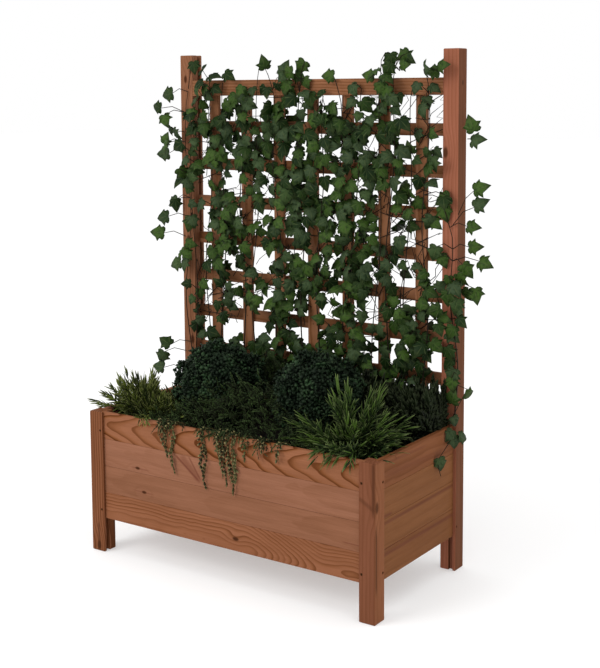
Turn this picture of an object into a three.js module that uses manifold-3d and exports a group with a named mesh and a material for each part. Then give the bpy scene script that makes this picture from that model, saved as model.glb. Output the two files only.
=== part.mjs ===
import * as THREE from 'three';
import { mergeVertices } from 'three/addons/utils/BufferGeometryUtils.js';
import Module from 'manifold-3d';

// A timber planter box on four square legs. The back legs run up as posts and carry a lattice,
// and the box is planted with clipped balls, grasses, a trailing plant and ivy.
// Millimetres: X along the box, Y to the back, Z up, origin on the ground below its middle.

const GAP = 0.3; // clearance between pieces that touch
const CUT_OVER = 1; // how far a cutter runs past the face it cuts

// Legs and posts
const LENGTH = 1000;
const DEPTH = 500;
const LEG = 49;
const LEG_TOP = 431;
const POST_TOP = 1500;
const EDGE_ROUND = 2;
const GROOVE_INSET = 9;
const GROOVE_WIDTH = 14;
const GROOVE_DEPTH = 12;

// Box boards
const BOX_BOTTOM = 103;
const ROWS = 4;
const ROW_HEIGHT = (LEG_TOP - BOX_BOTTOM) / ROWS;
const BOARD_THICK = GROOVE_WIDTH - 2 * GAP;
const BOARD_CHAMFER = 0.8;
const TONGUE_WIDTH = 4.6;
const TONGUE_HEIGHT = 5;

// Screws through the legs' groove lips into the board ends
const SCREW_EDGE = 8;
const SCREW_ROWS = [131, 375];
const SCREW_SINK = 1.2;
const SCREW_HEAD = 3.7;
const SCREW_HEAD_DEPTH = 2.4;
const SCREW_RIM = 0.6;
const SCREW_SHANK = 2;
const SCREW_LENGTH = 19;
const SCREW_POINT = 3;
const SCREW_SIDES = 8;

// Floor inside the box
const BEARER = 28;
const BEARER_BOTTOM = 112;
const FLOOR_SLATS = 5;
const FLOOR_SLAT_WIDTH = 168;
const FLOOR_SLAT_THICK = 12;
const LINER_THICK = 1.6;
const LINER_TOP = 410;
const SOIL_TOP = 384;

// Lattice
const SLAT_WIDTH = 36;
const SLAT_THICK = 12;
const COLUMNS = 7;
const COLUMN_PITCH = 125;
const CROSS_SLATS = 7;
const CROSS_PITCH = 120;
const CROSS_TOP = 1273;
const SLAT_PLAY = 3; // room left at each end of a cross slat in the posts' grooves
const RAIL_BOTTOM = 1371;
const RAIL_GROOVE_DEPTH = 8;
const SLAT_BOTTOM = LINER_TOP + 6;
const SLAT_ROUND = 1;

// Planting
const BALL_RADIUS = 150;
const STEM_RADIUS = 3;
const STEM_STEP = 28;
const LEAF_SIZE = 46;
const LEAF_THICK = 2;

const INNER_X = LENGTH / 2 - LEG;
const INNER_Y = DEPTH / 2 - LEG;
const BOARD_OUT_X = LENGTH / 2 - GROOVE_INSET - GAP;
const BOARD_OUT_Y = DEPTH / 2 - GROOVE_INSET - GAP;
const SIDES = [[-1, 'left'], [1, 'right']];

const wood = (color) => new THREE.MeshStandardMaterial({ color, roughness: 0.7, metalness: 0 });
const plant = (color) => new THREE.MeshStandardMaterial({ color, roughness: 0.55, metalness: 0 });
const LEG_WOOD = wood(0x8a5b44);
const BOARD_WOOD = wood(0x96674f);
const SLAT_WOOD = wood(0x8d5f45);
const HIDDEN_WOOD = wood(0xa07c5c);
const STEEL = new THREE.MeshStandardMaterial({ color: 0x3b3836, roughness: 0.4, metalness: 0.9 });
const LINER_FLEECE = new THREE.MeshStandardMaterial({ color: 0x1b1b1c, roughness: 0.9, metalness: 0 });
const SOIL = new THREE.MeshStandardMaterial({ color: 0x2c2119, roughness: 1, metalness: 0 });

const wasm = await Module();
wasm.setup();

// A closed geometry as a solid that can be cut and joined
function solid(geometry) {
  const bare = geometry.clone();
  bare.deleteAttribute('normal');
  bare.deleteAttribute('uv');
  const merged = mergeVertices(bare, 1e-3);
  return new wasm.Manifold(new wasm.Mesh({
    numProp: 3,
    vertProperties: new Float32Array(merged.attributes.position.array),
    triVerts: new Uint32Array(merged.index.array),
  }));
}

function geometryOf(body) {
  const { vertProperties, triVerts } = body.getMesh();
  const geometry = new THREE.BufferGeometry();
  geometry.setAttribute('position', new THREE.BufferAttribute(new Float32Array(vertProperties), 3));
  geometry.setIndex(Array.from(triVerts));
  geometry.computeVertexNormals();
  return geometry;
}

const planter = new THREE.Group();

function add(name, shape, material) {
  const geometry = shape instanceof THREE.BufferGeometry ? shape : geometryOf(shape);
  const mesh = new THREE.Mesh(geometry, material);
  mesh.name = name;
  planter.add(mesh);
}

// A block between two corners
function block(low, high) {
  const size = high.map((value, axis) => value - low[axis]);
  const middle = high.map((value, axis) => (value + low[axis]) / 2);
  return new THREE.BoxGeometry(...size).translate(...middle);
}

// A closed outline: plain corners are [x, y], rounded ones [x, y, radius]
function outline(corners) {
  const shape = new THREE.Shape();
  corners.forEach(([x, y, radius = 0], i) => {
    const corner = new THREE.Vector2(x, y);
    const [before, after] = [-1, 1].map((step) => {
      const [nx, ny] = corners[(i + step + corners.length) % corners.length];
      return new THREE.Vector2(nx, ny).sub(corner).setLength(radius).add(corner);
    });
    if (i === 0) shape.moveTo(before.x, before.y);
    else shape.lineTo(before.x, before.y);
    if (radius > 0) shape.quadraticCurveTo(x, y, after.x, after.y);
  });
  shape.closePath();
  return shape;
}

// A rectangle with eased corners, width along X and height along Y, around the origin
function easedBar(width, height, radius) {
  const [x, y] = [width / 2, height / 2];
  return outline([[-x, -y, radius], [x, -y, radius], [x, y, radius], [-x, y, radius]]);
}

function extruded(shape, depth, endChamfer = 0) {
  return new THREE.ExtrudeGeometry(shape, {
    depth: depth - 2 * endChamfer,
    curveSegments: 2,
    bevelEnabled: endChamfer > 0,
    bevelThickness: endChamfer,
    bevelSize: endChamfer,
    bevelOffset: -endChamfer,
    bevelSegments: 1,
  }).translate(0, 0, endChamfer);
}

// Lays a profile drawn as (depth, height) so that it runs along X
const alongX = (geometry) => geometry.rotateX(Math.PI / 2).rotateZ(Math.PI / 2);

// ---- screws and their bores ----

function turned(profile, place, inward) {
  const points = profile.map(([radius, depth]) => new THREE.Vector2(radius, depth));
  const turn = new THREE.Quaternion().setFromUnitVectors(new THREE.Vector3(0, 1, 0), inward);
  return new THREE.LatheGeometry(points, SCREW_SIDES).applyQuaternion(turn).translate(...place);
}

const SCREW_PROFILE = [
  [0, SCREW_SINK],
  [SCREW_HEAD, SCREW_SINK],
  [SCREW_HEAD, SCREW_SINK + SCREW_RIM],
  [SCREW_SHANK, SCREW_SINK + SCREW_HEAD_DEPTH],
  [SCREW_SHANK, SCREW_SINK + SCREW_LENGTH - SCREW_POINT],
  [0, SCREW_SINK + SCREW_LENGTH],
];
const BORE_PROFILE = [
  [0, -CUT_OVER],
  [SCREW_HEAD + GAP, -CUT_OVER],
  [SCREW_HEAD + GAP, SCREW_SINK + SCREW_HEAD_DEPTH + GAP],
  [SCREW_SHANK + GAP, SCREW_SINK + SCREW_HEAD_DEPTH + GAP],
  [SCREW_SHANK + GAP, SCREW_SINK + SCREW_LENGTH + GAP],
  [0, SCREW_SINK + SCREW_LENGTH + GAP],
];

// Screw places at one corner of the box, two on its long side and two on its end
function screwPlaces(sx, sy) {
  const onLongSide = SCREW_ROWS.map((z) => ({
    place: [sx * (INNER_X + SCREW_EDGE), sy * DEPTH / 2, z],
    inward: new THREE.Vector3(0, -sy, 0),
  }));
  const onEnd = SCREW_ROWS.map((z) => ({
    place: [sx * LENGTH / 2, sy * (INNER_Y + SCREW_EDGE), z],
    inward: new THREE.Vector3(-sx, 0, 0),
  }));
  return { onLongSide, onEnd };
}

function bored(body, spots) {
  return spots.reduce(
    (rest, { place, inward }) => rest.subtract(solid(turned(BORE_PROFILE, place, inward))), body);
}

// ---- legs and posts ----

// Section of a leg at corner (sx, sy). u and v run inwards from its outer faces: the groove that
// takes the long boards is in the face u = LEG, the one for the end boards in the face v = LEG.
function legSection(sx, sy, endGroove) {
  const grooveEnd = GROOVE_INSET + GROOVE_WIDTH;
  const grooveFloor = LEG - GROOVE_DEPTH;
  const corners = [
    [0, 0, EDGE_ROUND], [LEG, 0, EDGE_ROUND],
    [LEG, GROOVE_INSET], [grooveFloor, GROOVE_INSET], [grooveFloor, grooveEnd], [LEG, grooveEnd],
    [LEG, LEG, EDGE_ROUND],
  ];
  if (endGroove) {
    corners.push([grooveEnd, LEG], [grooveEnd, grooveFloor], [GROOVE_INSET, grooveFloor],
      [GROOVE_INSET, LEG]);
  }
  corners.push([0, LEG, EDGE_ROUND]);
  return outline(corners.map(([u, v, radius]) => [sx * (LENGTH / 2 - u), sy * (DEPTH / 2 - v), radius]));
}

// The posts' groove for the end boards stops level with the top of the box
function stoppedGroove(sx) {
  const x = [LENGTH / 2 - GROOVE_INSET - GROOVE_WIDTH, LENGTH / 2 - GROOVE_INSET].map((u) => sx * u);
  return solid(block(
    [Math.min(...x), INNER_Y - CUT_OVER, -CUT_OVER],
    [Math.max(...x), INNER_Y + GROOVE_DEPTH, LEG_TOP + GAP]));
}

for (const [sx, side] of SIDES) {
  for (const [sy, place] of [[-1, 'front'], [1, 'back']]) {
    const front = sy < 0;
    let leg = solid(extruded(legSection(sx, sy, front), front ? LEG_TOP : POST_TOP, EDGE_ROUND));
    if (!front) leg = leg.subtract(stoppedGroove(sx));
    const { onLongSide, onEnd } = screwPlaces(sx, sy);
    add(front ? `leg_${place}_${side}` : `post_${place}_${side}`,
      bored(leg, [...onLongSide, ...onEnd]), LEG_WOOD);
  }
}

// ---- box boards ----

// Section of a board as (depth, height): y = 0 is its outer face, and it is BOARD_THICK deep.
// All but the top one carry a tongue, and all but the bottom one have its groove.
function boardSection(row) {
  const top = ROW_HEIGHT - GAP;
  const middle = BOARD_THICK / 2;
  const [tongue, groove] = [TONGUE_WIDTH / 2, TONGUE_WIDTH / 2 + GAP];
  const c = BOARD_CHAMFER;
  const below = row === 0 ? [] : [
    [middle - groove, 0], [middle - groove, TONGUE_HEIGHT],
    [middle + groove, TONGUE_HEIGHT], [middle + groove, 0],
  ];
  const above = row === ROWS - 1 ? [] : [
    [middle + tongue, top], [middle + tongue, top + TONGUE_HEIGHT - GAP],
    [middle - tongue, top + TONGUE_HEIGHT - GAP], [middle - tongue, top],
  ];
  return outline([
    [0, c], [c, 0], ...below, [BOARD_THICK - c, 0], [BOARD_THICK, c],
    [BOARD_THICK, top - c], [BOARD_THICK - c, top], ...above, [c, top], [0, top - c],
  ]);
}

const LONG_BOARD = 2 * (INNER_X + GROOVE_DEPTH - GAP);
const END_BOARD = 2 * (INNER_Y + GROOVE_DEPTH - GAP);

// A board on the side that faces -Y, turned about the box's middle onto the side it belongs to
function board(row, length, outFace, turn) {
  return alongX(extruded(boardSection(row), length))
    .translate(-length / 2, -outFace, BOX_BOTTOM + row * ROW_HEIGHT)
    .rotateZ(turn);
}

const WALLS = [
  ['front', LONG_BOARD, BOARD_OUT_Y, 0],
  ['right', END_BOARD, BOARD_OUT_X, Math.PI / 2],
  ['back', LONG_BOARD, BOARD_OUT_Y, Math.PI],
  ['left', END_BOARD, BOARD_OUT_X, -Math.PI / 2],
];
const WALL_SCREWS = {
  front: [...screwPlaces(-1, -1).onLongSide, ...screwPlaces(1, -1).onLongSide],
  right: [...screwPlaces(1, -1).onEnd, ...screwPlaces(1, 1).onEnd],
  back: [...screwPlaces(-1, 1).onLongSide, ...screwPlaces(1, 1).onLongSide],
  left: [...screwPlaces(-1, -1).onEnd, ...screwPlaces(-1, 1).onEnd],
};
for (const [wall, length, outFace, turn] of WALLS) {
  for (let row = 0; row < ROWS; row += 1) {
    const low = BOX_BOTTOM + row * ROW_HEIGHT;
    const spots = WALL_SCREWS[wall].filter(({ place }) => place[2] > low && place[2] < low + ROW_HEIGHT);
    add(`board_${wall}_${row + 1}`,
      bored(solid(board(row, length, outFace, turn)), spots), BOARD_WOOD);
  }
}

const SHOWN_SCREWS = [
  ...screwPlaces(-1, -1).onLongSide, ...screwPlaces(1, -1).onLongSide, ...screwPlaces(1, -1).onEnd,
];
SHOWN_SCREWS.forEach(({ place, inward }, i) => {
  add(`corner_screw_${i + 1}`, turned(SCREW_PROFILE, place, inward), STEEL);
});

// ---- floor ----

const FLOOR_OUT_Y = BOARD_OUT_Y - BOARD_THICK - GAP;
for (const [sy, place] of [[-1, 'front'], [1, 'back']]) {
  const y = [sy * FLOOR_OUT_Y, sy * (FLOOR_OUT_Y - BEARER)];
  add(`floor_bearer_${place}`, block(
    [-INNER_X + GAP, Math.min(...y), BEARER_BOTTOM],
    [INNER_X - GAP, Math.max(...y), BEARER_BOTTOM + BEARER]), HIDDEN_WOOD);
}
const FLOOR_BOTTOM = BEARER_BOTTOM + BEARER + GAP;
const FLOOR_TOP = FLOOR_BOTTOM + FLOOR_SLAT_THICK;
const floorPitch = (2 * (INNER_X - GAP) - FLOOR_SLAT_WIDTH) / (FLOOR_SLATS - 1);
for (let i = 0; i < FLOOR_SLATS; i += 1) {
  const x = (i - (FLOOR_SLATS - 1) / 2) * floorPitch;
  add(`floor_slat_${i + 1}`, block(
    [x - FLOOR_SLAT_WIDTH / 2, -FLOOR_OUT_Y, FLOOR_BOTTOM],
    [x + FLOOR_SLAT_WIDTH / 2, FLOOR_OUT_Y, FLOOR_TOP]), HIDDEN_WOOD);
}

// ---- liner and soil ----

// Footprint inside the boards, notched at its corners around the legs
function footprint(inset) {
  const [x, y] = [BOARD_OUT_X - BOARD_THICK - inset, BOARD_OUT_Y - BOARD_THICK - inset];
  const [nx, ny] = [INNER_X - inset, INNER_Y - inset];
  return outline([
    [-x, -ny], [-nx, -ny], [-nx, -y], [nx, -y], [nx, -ny], [x, -ny],
    [x, ny], [nx, ny], [nx, y], [-nx, y], [-nx, ny], [-x, ny],
  ]);
}
const LINER_BOTTOM = FLOOR_TOP + GAP;
const linerShell = solid(extruded(footprint(GAP), LINER_TOP - LINER_BOTTOM).translate(0, 0, LINER_BOTTOM));
const linerRoom = solid(
  extruded(footprint(GAP + LINER_THICK), LINER_TOP).translate(0, 0, LINER_BOTTOM + LINER_THICK));
add('liner', linerShell.subtract(linerRoom), LINER_FLEECE);
const SOIL_BOTTOM = LINER_BOTTOM + LINER_THICK + GAP;
add('soil', extruded(footprint(2 * GAP + LINER_THICK), SOIL_TOP - SOIL_BOTTOM)
  .translate(0, 0, SOIL_BOTTOM), SOIL);

// ---- top rail and lattice ----

const RAIL_MIDDLE_Y = DEPTH / 2 - LEG / 2;
const TONGUE_Y = BOARD_OUT_Y - BOARD_THICK / 2;
const CROSS_FRONT = BOARD_OUT_Y - BOARD_THICK;
const SLAT_BACK = CROSS_FRONT - GAP;
const SLAT_MIDDLE_Y = SLAT_BACK - SLAT_THICK / 2;

// The rail is leg stock with a groove below for the upright slats and a tongue at each end
function topRail() {
  const half = LEG / 2;
  const slot = SLAT_MIDDLE_Y - RAIL_MIDDLE_Y;
  const slotHalf = SLAT_THICK / 2 + GAP;
  const section = outline([
    [-half, -half, EDGE_ROUND],
    [slot - slotHalf, -half], [slot - slotHalf, RAIL_GROOVE_DEPTH - half],
    [slot + slotHalf, RAIL_GROOVE_DEPTH - half], [slot + slotHalf, -half],
    [half, -half, EDGE_ROUND], [half, half, EDGE_ROUND], [-half, half, EDGE_ROUND],
  ]);
  const length = 2 * (INNER_X - GAP);
  const bar = alongX(extruded(section, length)).translate(-length / 2, RAIL_MIDDLE_Y, RAIL_BOTTOM + half);
  const tongueReach = INNER_X + GROOVE_DEPTH - GAP;
  const tongueRoot = INNER_X - GAP - CUT_OVER;
  const tongue = (sx) => solid(block(
    [Math.min(sx * tongueReach, sx * tongueRoot), TONGUE_Y - BOARD_THICK / 2, RAIL_BOTTOM + EDGE_ROUND],
    [Math.max(sx * tongueReach, sx * tongueRoot), TONGUE_Y + BOARD_THICK / 2,
      RAIL_BOTTOM + LEG - EDGE_ROUND]));
  return solid(bar).add(tongue(-1)).add(tongue(1));
}
add('top_rail', topRail(), LEG_WOOD);

const SLAT_TOP = RAIL_BOTTOM + RAIL_GROOVE_DEPTH - GAP;
for (let i = 0; i < COLUMNS; i += 1) {
  const x = (i - (COLUMNS - 1) / 2) * COLUMN_PITCH;
  add(`upright_slat_${i + 1}`, extruded(easedBar(SLAT_WIDTH, SLAT_THICK, SLAT_ROUND), SLAT_TOP - SLAT_BOTTOM)
    .translate(x, SLAT_MIDDLE_Y, SLAT_BOTTOM), SLAT_WOOD);
}
const CROSS_LENGTH = 2 * (INNER_X + GROOVE_DEPTH - SLAT_PLAY);
for (let i = 0; i < CROSS_SLATS; i += 1) {
  add(`cross_slat_${i + 1}`, alongX(extruded(easedBar(SLAT_THICK, SLAT_WIDTH, SLAT_ROUND), CROSS_LENGTH))
    .translate(-CROSS_LENGTH / 2, CROSS_FRONT + SLAT_THICK / 2, CROSS_TOP - i * CROSS_PITCH), SLAT_WOOD);
}

// ---- planting ----

// A plant's mass as a solid turned about the upright through (x, y), from [radius, height] pairs
// that start and end on the axis; grow swells it to cut room for it out of its neighbours
function mound(x, y, profile, sides, grow = 0) {
  const points = profile.map(([radius, height], i) => {
    const lift = i === profile.length - 1 ? grow : 0;
    return new THREE.Vector2(radius > 0 ? radius + grow : 0, height + lift);
  });
  return solid(new THREE.LatheGeometry(points, sides).rotateX(Math.PI / 2).translate(x, y, 0));
}

function tube(curve, radius, steps) {
  const ring = Array.from({ length: 6 }, (_, i) => [
    radius * Math.cos(i * Math.PI / 3), radius * Math.sin(i * Math.PI / 3)]);
  return solid(new THREE.ExtrudeGeometry(outline(ring), { steps, extrudePath: curve, bevelEnabled: false }));
}

const curveThrough = (points) => new THREE.CatmullRomCurve3(points.map((p) => new THREE.Vector3(...p)));

// A flat five-lobed leaf with its stalk end at a point; its tip leans from +Z towards +X by angle
const LEAF_HALF = [[0.24, -0.12], [0.46, 0.02], [0.33, 0.2], [0.52, 0.46], [0.23, 0.55]];
function leaf([x, y, z], angle) {
  const left = [...LEAF_HALF].reverse().map(([across, along]) => [-across, along]);
  const corners = [[0, 0], ...LEAF_HALF, [0, 1], ...left];
  const plate = outline(corners.map(([across, along]) => [across * LEAF_SIZE, along * LEAF_SIZE]));
  return solid(extruded(plate, LEAF_THICK)
    .rotateX(Math.PI / 2).rotateY(angle).translate(x, y + LEAF_THICK / 2, z));
}

const PLANT_BASE = SOIL_TOP + GAP;
const ROOT = SOIL_TOP - 10; // stems start a little below the soil and are cut off level with it
const FRONT_BACK_REACH = 257;
const BEHIND_RAIL = FRONT_BACK_REACH - STEM_RADIUS - GAP;
const SIDE_REACH = 600;

// Clipped balls, flattened where they stand on the soil
const BALLS = [['ball_left', -190, -5, 492], ['ball_right', 165, -5, 498]];
const ballSolid = (x, y, z, grow) => solid(
  new THREE.SphereGeometry(BALL_RADIUS + grow, 18, 12).rotateX(Math.PI / 2).translate(x, y, z));
const belowSoil = solid(block(
  [-BOARD_OUT_X, -BOARD_OUT_Y, SOIL_BOTTOM], [BOARD_OUT_X, BOARD_OUT_Y, PLANT_BASE]));
for (const [name, x, y, z] of BALLS) {
  add(name, ballSolid(x, y, z, 0).subtract(belowSoil), plant(0x1d3325));
}
const ballRoom = BALLS.map(([, x, y, z]) => ballSolid(x, y, z, GAP));

// Grass tufts and the fern, each narrow between the boards and spreading above them
const TUFTS = [
  ['grass_left', -385, -112, 0x4c5f24,
    [[0, PLANT_BASE], [55, PLANT_BASE], [84, 425], [118, 480], [70, 532], [0, 545]]],
  ['grass_right', 352, -122, 0x4a6624,
    [[0, PLANT_BASE], [50, PLANT_BASE], [82, 425], [118, 520], [76, 605], [0, 640]]],
  ['fern_right', 372, 98, 0x24331c,
    [[0, PLANT_BASE], [50, PLANT_BASE], [80, 430], [100, 500], [60, 545], [0, 560]]],
];
const TUFT_SIDES = 14;
for (const [name, x, y, color, profile] of TUFTS) {
  const body = ballRoom.reduce((rest, room) => rest.subtract(room), mound(x, y, profile, TUFT_SIDES));
  add(name, body, plant(color));
}
const tuftRoom = TUFTS.map(([, x, y, , profile]) => mound(x, y, profile, TUFT_SIDES, GAP));

// Trailing plant: a low bank behind the front board, and strands that hang over the board
const BANK_RADII = [270, 56, 84];
const STRANDS = [
  { from: -190, to: -172, low: 300 },
  { from: -66, to: -56, low: 276 },
  { from: -8, to: 14, low: 302 },
  { from: 44, to: 58, low: 284 },
];
function trailingPlant() {
  const bank = solid(new THREE.SphereGeometry(1, 18, 8).rotateX(Math.PI / 2)
    .scale(...BANK_RADII).translate(16, -166, 432));
  const hanging = STRANDS.map(({ from, to, low }) => {
    const strandY = -FRONT_BACK_REACH + STEM_RADIUS + 1;
    const path = curveThrough([
      [from, -195, 440], [from, -222, 446], [from, -242, 441], [(from + to) / 2, strandY, 420],
      [to, strandY, low]]);
    const tip = leaf([to, -FRONT_BACK_REACH + LEAF_THICK / 2, low + 8], Math.PI);
    return tube(path, STEM_RADIUS, 12).add(tip);
  });
  return hanging.reduce((rest, strand) => rest.add(strand),
    [belowSoil, ...ballRoom, ...tuftRoom].reduce((rest, room) => rest.subtract(room), bank));
}
add('trailing_plant', trailingPlant(), plant(0x2c3a22));

// Ivy: each vine is a stem up the front of the lattice with side shoots, each ending in a leaf.
// A shoot is where it leaves the stem (0 root, 1 top), where its leaf starts, how the leaf leans,
// and a point on its way where it has to pass over something.
const SIDE_LEAF = SIDE_REACH - LEAF_SIZE;
const LEFT = -Math.PI / 2;
const RIGHT = Math.PI / 2;
const VINES = [
  {
    name: 'ivy_left',
    stem: [[-400, 150, ROOT], [-402, 188, 480], [-340, 203, 700], [-410, 200, 880],
      [-330, 203, 1060], [-395, 196, 1230], [-300, 190, 1330], [-210, 190, 1448]],
    shoots: [
      [0.3, [-530, 186, 700], LEFT - 0.3], [0.46, [-SIDE_LEAF, 186, 960], LEFT],
      [0.66, [-SIDE_LEAF, 186, 1206], LEFT], [0.78, [-540, 186, 1370], LEFT + 0.4],
      [0.4, [-230, 190, 860], RIGHT + 0.3], [0.6, [-200, 190, 1110], RIGHT],
      [0.2, [-260, 190, 640], RIGHT - 0.3],
    ],
  },
  {
    name: 'ivy_middle',
    stem: [[-12, 178, ROOT], [-30, 200, 560], [50, 204, 760], [-40, 204, 960],
      [60, 204, 1150], [10, 196, 1310], [26, 188, 1390], [31, 191, 1436], [36, 222, 1456],
      [38, 251, 1442], [40, BEHIND_RAIL, 1400], [44, BEHIND_RAIL, 1290]],
    shoots: [
      [0.22, [-120, 190, 700], LEFT + 0.3], [0.36, [130, 190, 880], RIGHT],
      [0.44, [-130, 190, 1000], LEFT], [0.56, [150, 190, 1220], RIGHT - 0.4],
      [0.64, [-90, 190, 1290], LEFT + 0.4], [0.14, [110, 190, 600], RIGHT],
      [1, [44, FRONT_BACK_REACH - LEAF_THICK / 2, 1262], Math.PI],
    ],
  },
  {
    name: 'ivy_right',
    stem: [[436, 190, ROOT], [428, 196, 560], [330, 204, 700], [410, 204, 900],
      [300, 204, 1080], [390, 198, 1250], [340, 190, 1340], [330, 190, 1446]],
    shoots: [
      [0.12, [522, 128, 352], Math.PI, [500, 142, 452]], [0.34, [528, 186, 760], RIGHT + 0.3],
      [0.5, [SIDE_LEAF, 186, 996], RIGHT], [0.72, [SIDE_LEAF, 186, 1180], RIGHT],
      [0.3, [230, 190, 800], LEFT], [0.6, [220, 190, 1180], LEFT + 0.3],
      [0.86, [260, 190, 1400], LEFT + 0.5],
    ],
  },
];

function vine({ stem, shoots }) {
  const curve = curveThrough(stem);
  const side = shoots.map(([along, tip, angle, over]) => {
    const start = curve.getPointAt(along);
    const end = new THREE.Vector3(...tip);
    const middle = over ? new THREE.Vector3(...over) : start.clone().lerp(end, 0.5);
    if (!over) middle.set(middle.x, tip[1], middle.z + 0.07 * start.distanceTo(end));
    const path = new THREE.CatmullRomCurve3([start, middle, end]);
    return tube(path, 0.7 * STEM_RADIUS, 4).add(leaf(tip, angle));
  });
  const steps = Math.round(curve.getLength() / STEM_STEP);
  const whole = side.reduce((rest, shoot) => rest.add(shoot), tube(curve, STEM_RADIUS, steps));
  return whole.subtract(belowSoil);
}
VINES.forEach((ivy) => add(ivy.name, vine(ivy), plant(0x23471f)));

export default planter;
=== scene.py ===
import math

import bmesh
import bpy
import numpy as np
from mathutils import Matrix, Vector, noise


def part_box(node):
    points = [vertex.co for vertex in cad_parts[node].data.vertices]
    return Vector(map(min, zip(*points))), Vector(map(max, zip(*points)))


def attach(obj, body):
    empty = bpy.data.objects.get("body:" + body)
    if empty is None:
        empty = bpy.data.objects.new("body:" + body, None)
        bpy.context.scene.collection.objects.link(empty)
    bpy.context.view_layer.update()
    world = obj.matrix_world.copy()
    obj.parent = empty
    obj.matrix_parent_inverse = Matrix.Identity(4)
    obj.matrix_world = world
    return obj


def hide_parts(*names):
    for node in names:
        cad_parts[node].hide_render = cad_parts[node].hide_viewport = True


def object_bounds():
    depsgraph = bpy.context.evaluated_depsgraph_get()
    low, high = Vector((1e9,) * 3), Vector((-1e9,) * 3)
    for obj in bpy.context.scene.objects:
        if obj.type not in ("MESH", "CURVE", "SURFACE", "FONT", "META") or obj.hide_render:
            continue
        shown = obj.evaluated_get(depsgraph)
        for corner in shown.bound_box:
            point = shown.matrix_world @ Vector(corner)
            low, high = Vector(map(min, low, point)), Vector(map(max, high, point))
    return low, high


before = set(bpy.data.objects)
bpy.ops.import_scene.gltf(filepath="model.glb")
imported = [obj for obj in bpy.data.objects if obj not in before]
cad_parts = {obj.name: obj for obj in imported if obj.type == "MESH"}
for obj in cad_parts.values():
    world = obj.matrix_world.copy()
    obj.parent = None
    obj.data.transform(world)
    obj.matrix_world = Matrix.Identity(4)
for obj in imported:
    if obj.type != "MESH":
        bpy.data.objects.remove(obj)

cad_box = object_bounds()

# ======== Camera ========
# It stands before the front right corner at about the height of the lattice's top, and looks
# slightly down. The shift makes room for the box and the feet.
CAMERA_PLACE = (2.1025, -2.9293, 1.3850)
CAMERA_TURN, CAMERA_DIP, CAMERA_ROLL = math.radians(34.767), math.radians(6.051), math.radians(-0.3675)
FOCAL_LENGTH, SENSOR_WIDTH = 67.3, 36
SHIFT = (0.0137, -0.1658)


def linked(name, data):
    """A new object for some data, put in the scene."""
    thing = bpy.data.objects.new(name, data)
    bpy.context.scene.collection.objects.link(thing)
    return thing


lens = bpy.data.cameras.new("camera")
lens.lens, lens.sensor_width = FOCAL_LENGTH, SENSOR_WIDTH
lens.shift_x, lens.shift_y = SHIFT
camera = linked("camera", lens)
camera.matrix_world = (
    Matrix.Translation(CAMERA_PLACE)
    @ Matrix.Rotation(CAMERA_TURN, 4, "Z")
    @ Matrix.Rotation(math.pi / 2 - CAMERA_DIP, 4, "X")
    @ Matrix.Rotation(CAMERA_ROLL, 4, "Z")
)
bpy.context.scene.camera = camera

# ======== Studio ========
# A pale matt floor without an edge in sight, an even white room light, and two large soft panels:
# the stronger one at the left of the camera, the weaker one overhead.
WHITE = (1, 1, 1, 1)
FLOOR_SIZE = 60
FLOOR_DROP = 0.0005
FLOOR_LOOK = {
    "Base Color": (0.62, 0.62, 0.62, 1), "Roughness": 0.95,
    "Emission Color": WHITE, "Emission Strength": 0.38}
ROOM_LOOK = {"Color": WHITE, "Strength": 1.0}
# Each panel's place, width and power
PANELS = {"left_panel": ((-2.0, -4.2, 3.2), 2.6, 130), "top_panel": ((1.6, -0.6, 4.2), 2.2, 20)}
PANEL_AIM = Vector((0, 0, 0.6))


def made(name, add, **settings):
    """A new primitive at its size and place, named, with its turn and scale worked into its mesh."""
    bpy.ops.object.select_all(action="DESELECT")
    add(**settings)
    piece = bpy.context.object
    piece.name = piece.data.name = name
    piece.data.transform(piece.matrix_world)
    piece.matrix_world = Matrix.Identity(4)
    return piece


studio_floor = made(
    "studio_floor", bpy.ops.mesh.primitive_plane_add, size=FLOOR_SIZE, location=(0, 0, -FLOOR_DROP))
floor_paint = bpy.data.materials.new("studio_floor")
room = bpy.data.worlds.new("room")
for coat, shader, look in ((floor_paint, "Principled BSDF", FLOOR_LOOK), (room, "Background", ROOM_LOOK)):
    coat.use_nodes = True
    for socket, value in look.items():
        coat.node_tree.nodes[shader].inputs[socket].default_value = value
studio_floor.data.materials.append(floor_paint)
bpy.context.scene.world = room
bpy.context.scene.view_settings.view_transform = "Standard"

for name, (place, size, power) in PANELS.items():
    panel = bpy.data.lights.new(name, "AREA")
    panel.size = size
    panel.energy = power
    stand = linked(name, panel)
    stand.location = place
    stand.rotation_euler = (PANEL_AIM - Vector(place)).to_track_quat("-Z", "Y").to_euler()

# ======== Legs and posts ========
# Four lengths of 49 mm square softwood, planed, their edges eased, with grooves for the boards.
# The wood is reddish-brown under a pink-brown oil, and its growth rings show on every face.
PALE_WOOD = (0.262, 0.110, 0.062)
WARM_WOOD = (0.190, 0.076, 0.039)
AMBER_WOOD = (0.165, 0.056, 0.014)
LATE_WOOD = (0.090, 0.026, 0.005)
RED_WOOD = (0.110, 0.030, 0.016)
KNOT_WOOD = (0.040, 0.010, 0.001)
DARK_STREAK = (0.070, 0.022, 0.008)
WOOD_ROUGHNESS, WOOD_GLOSS, GRAIN_DEPTH = 0.62, 0.08, 0.0005
# How fast each pattern in the wood changes, per metre along the grain and per metre across it
WANDER, SHIVER, FIBRE, STREAK, CLOUD = (2.6, 2.0), (9.0, 14.0), (18, 520), (3.0, 75), (2.2, 9)


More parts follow.
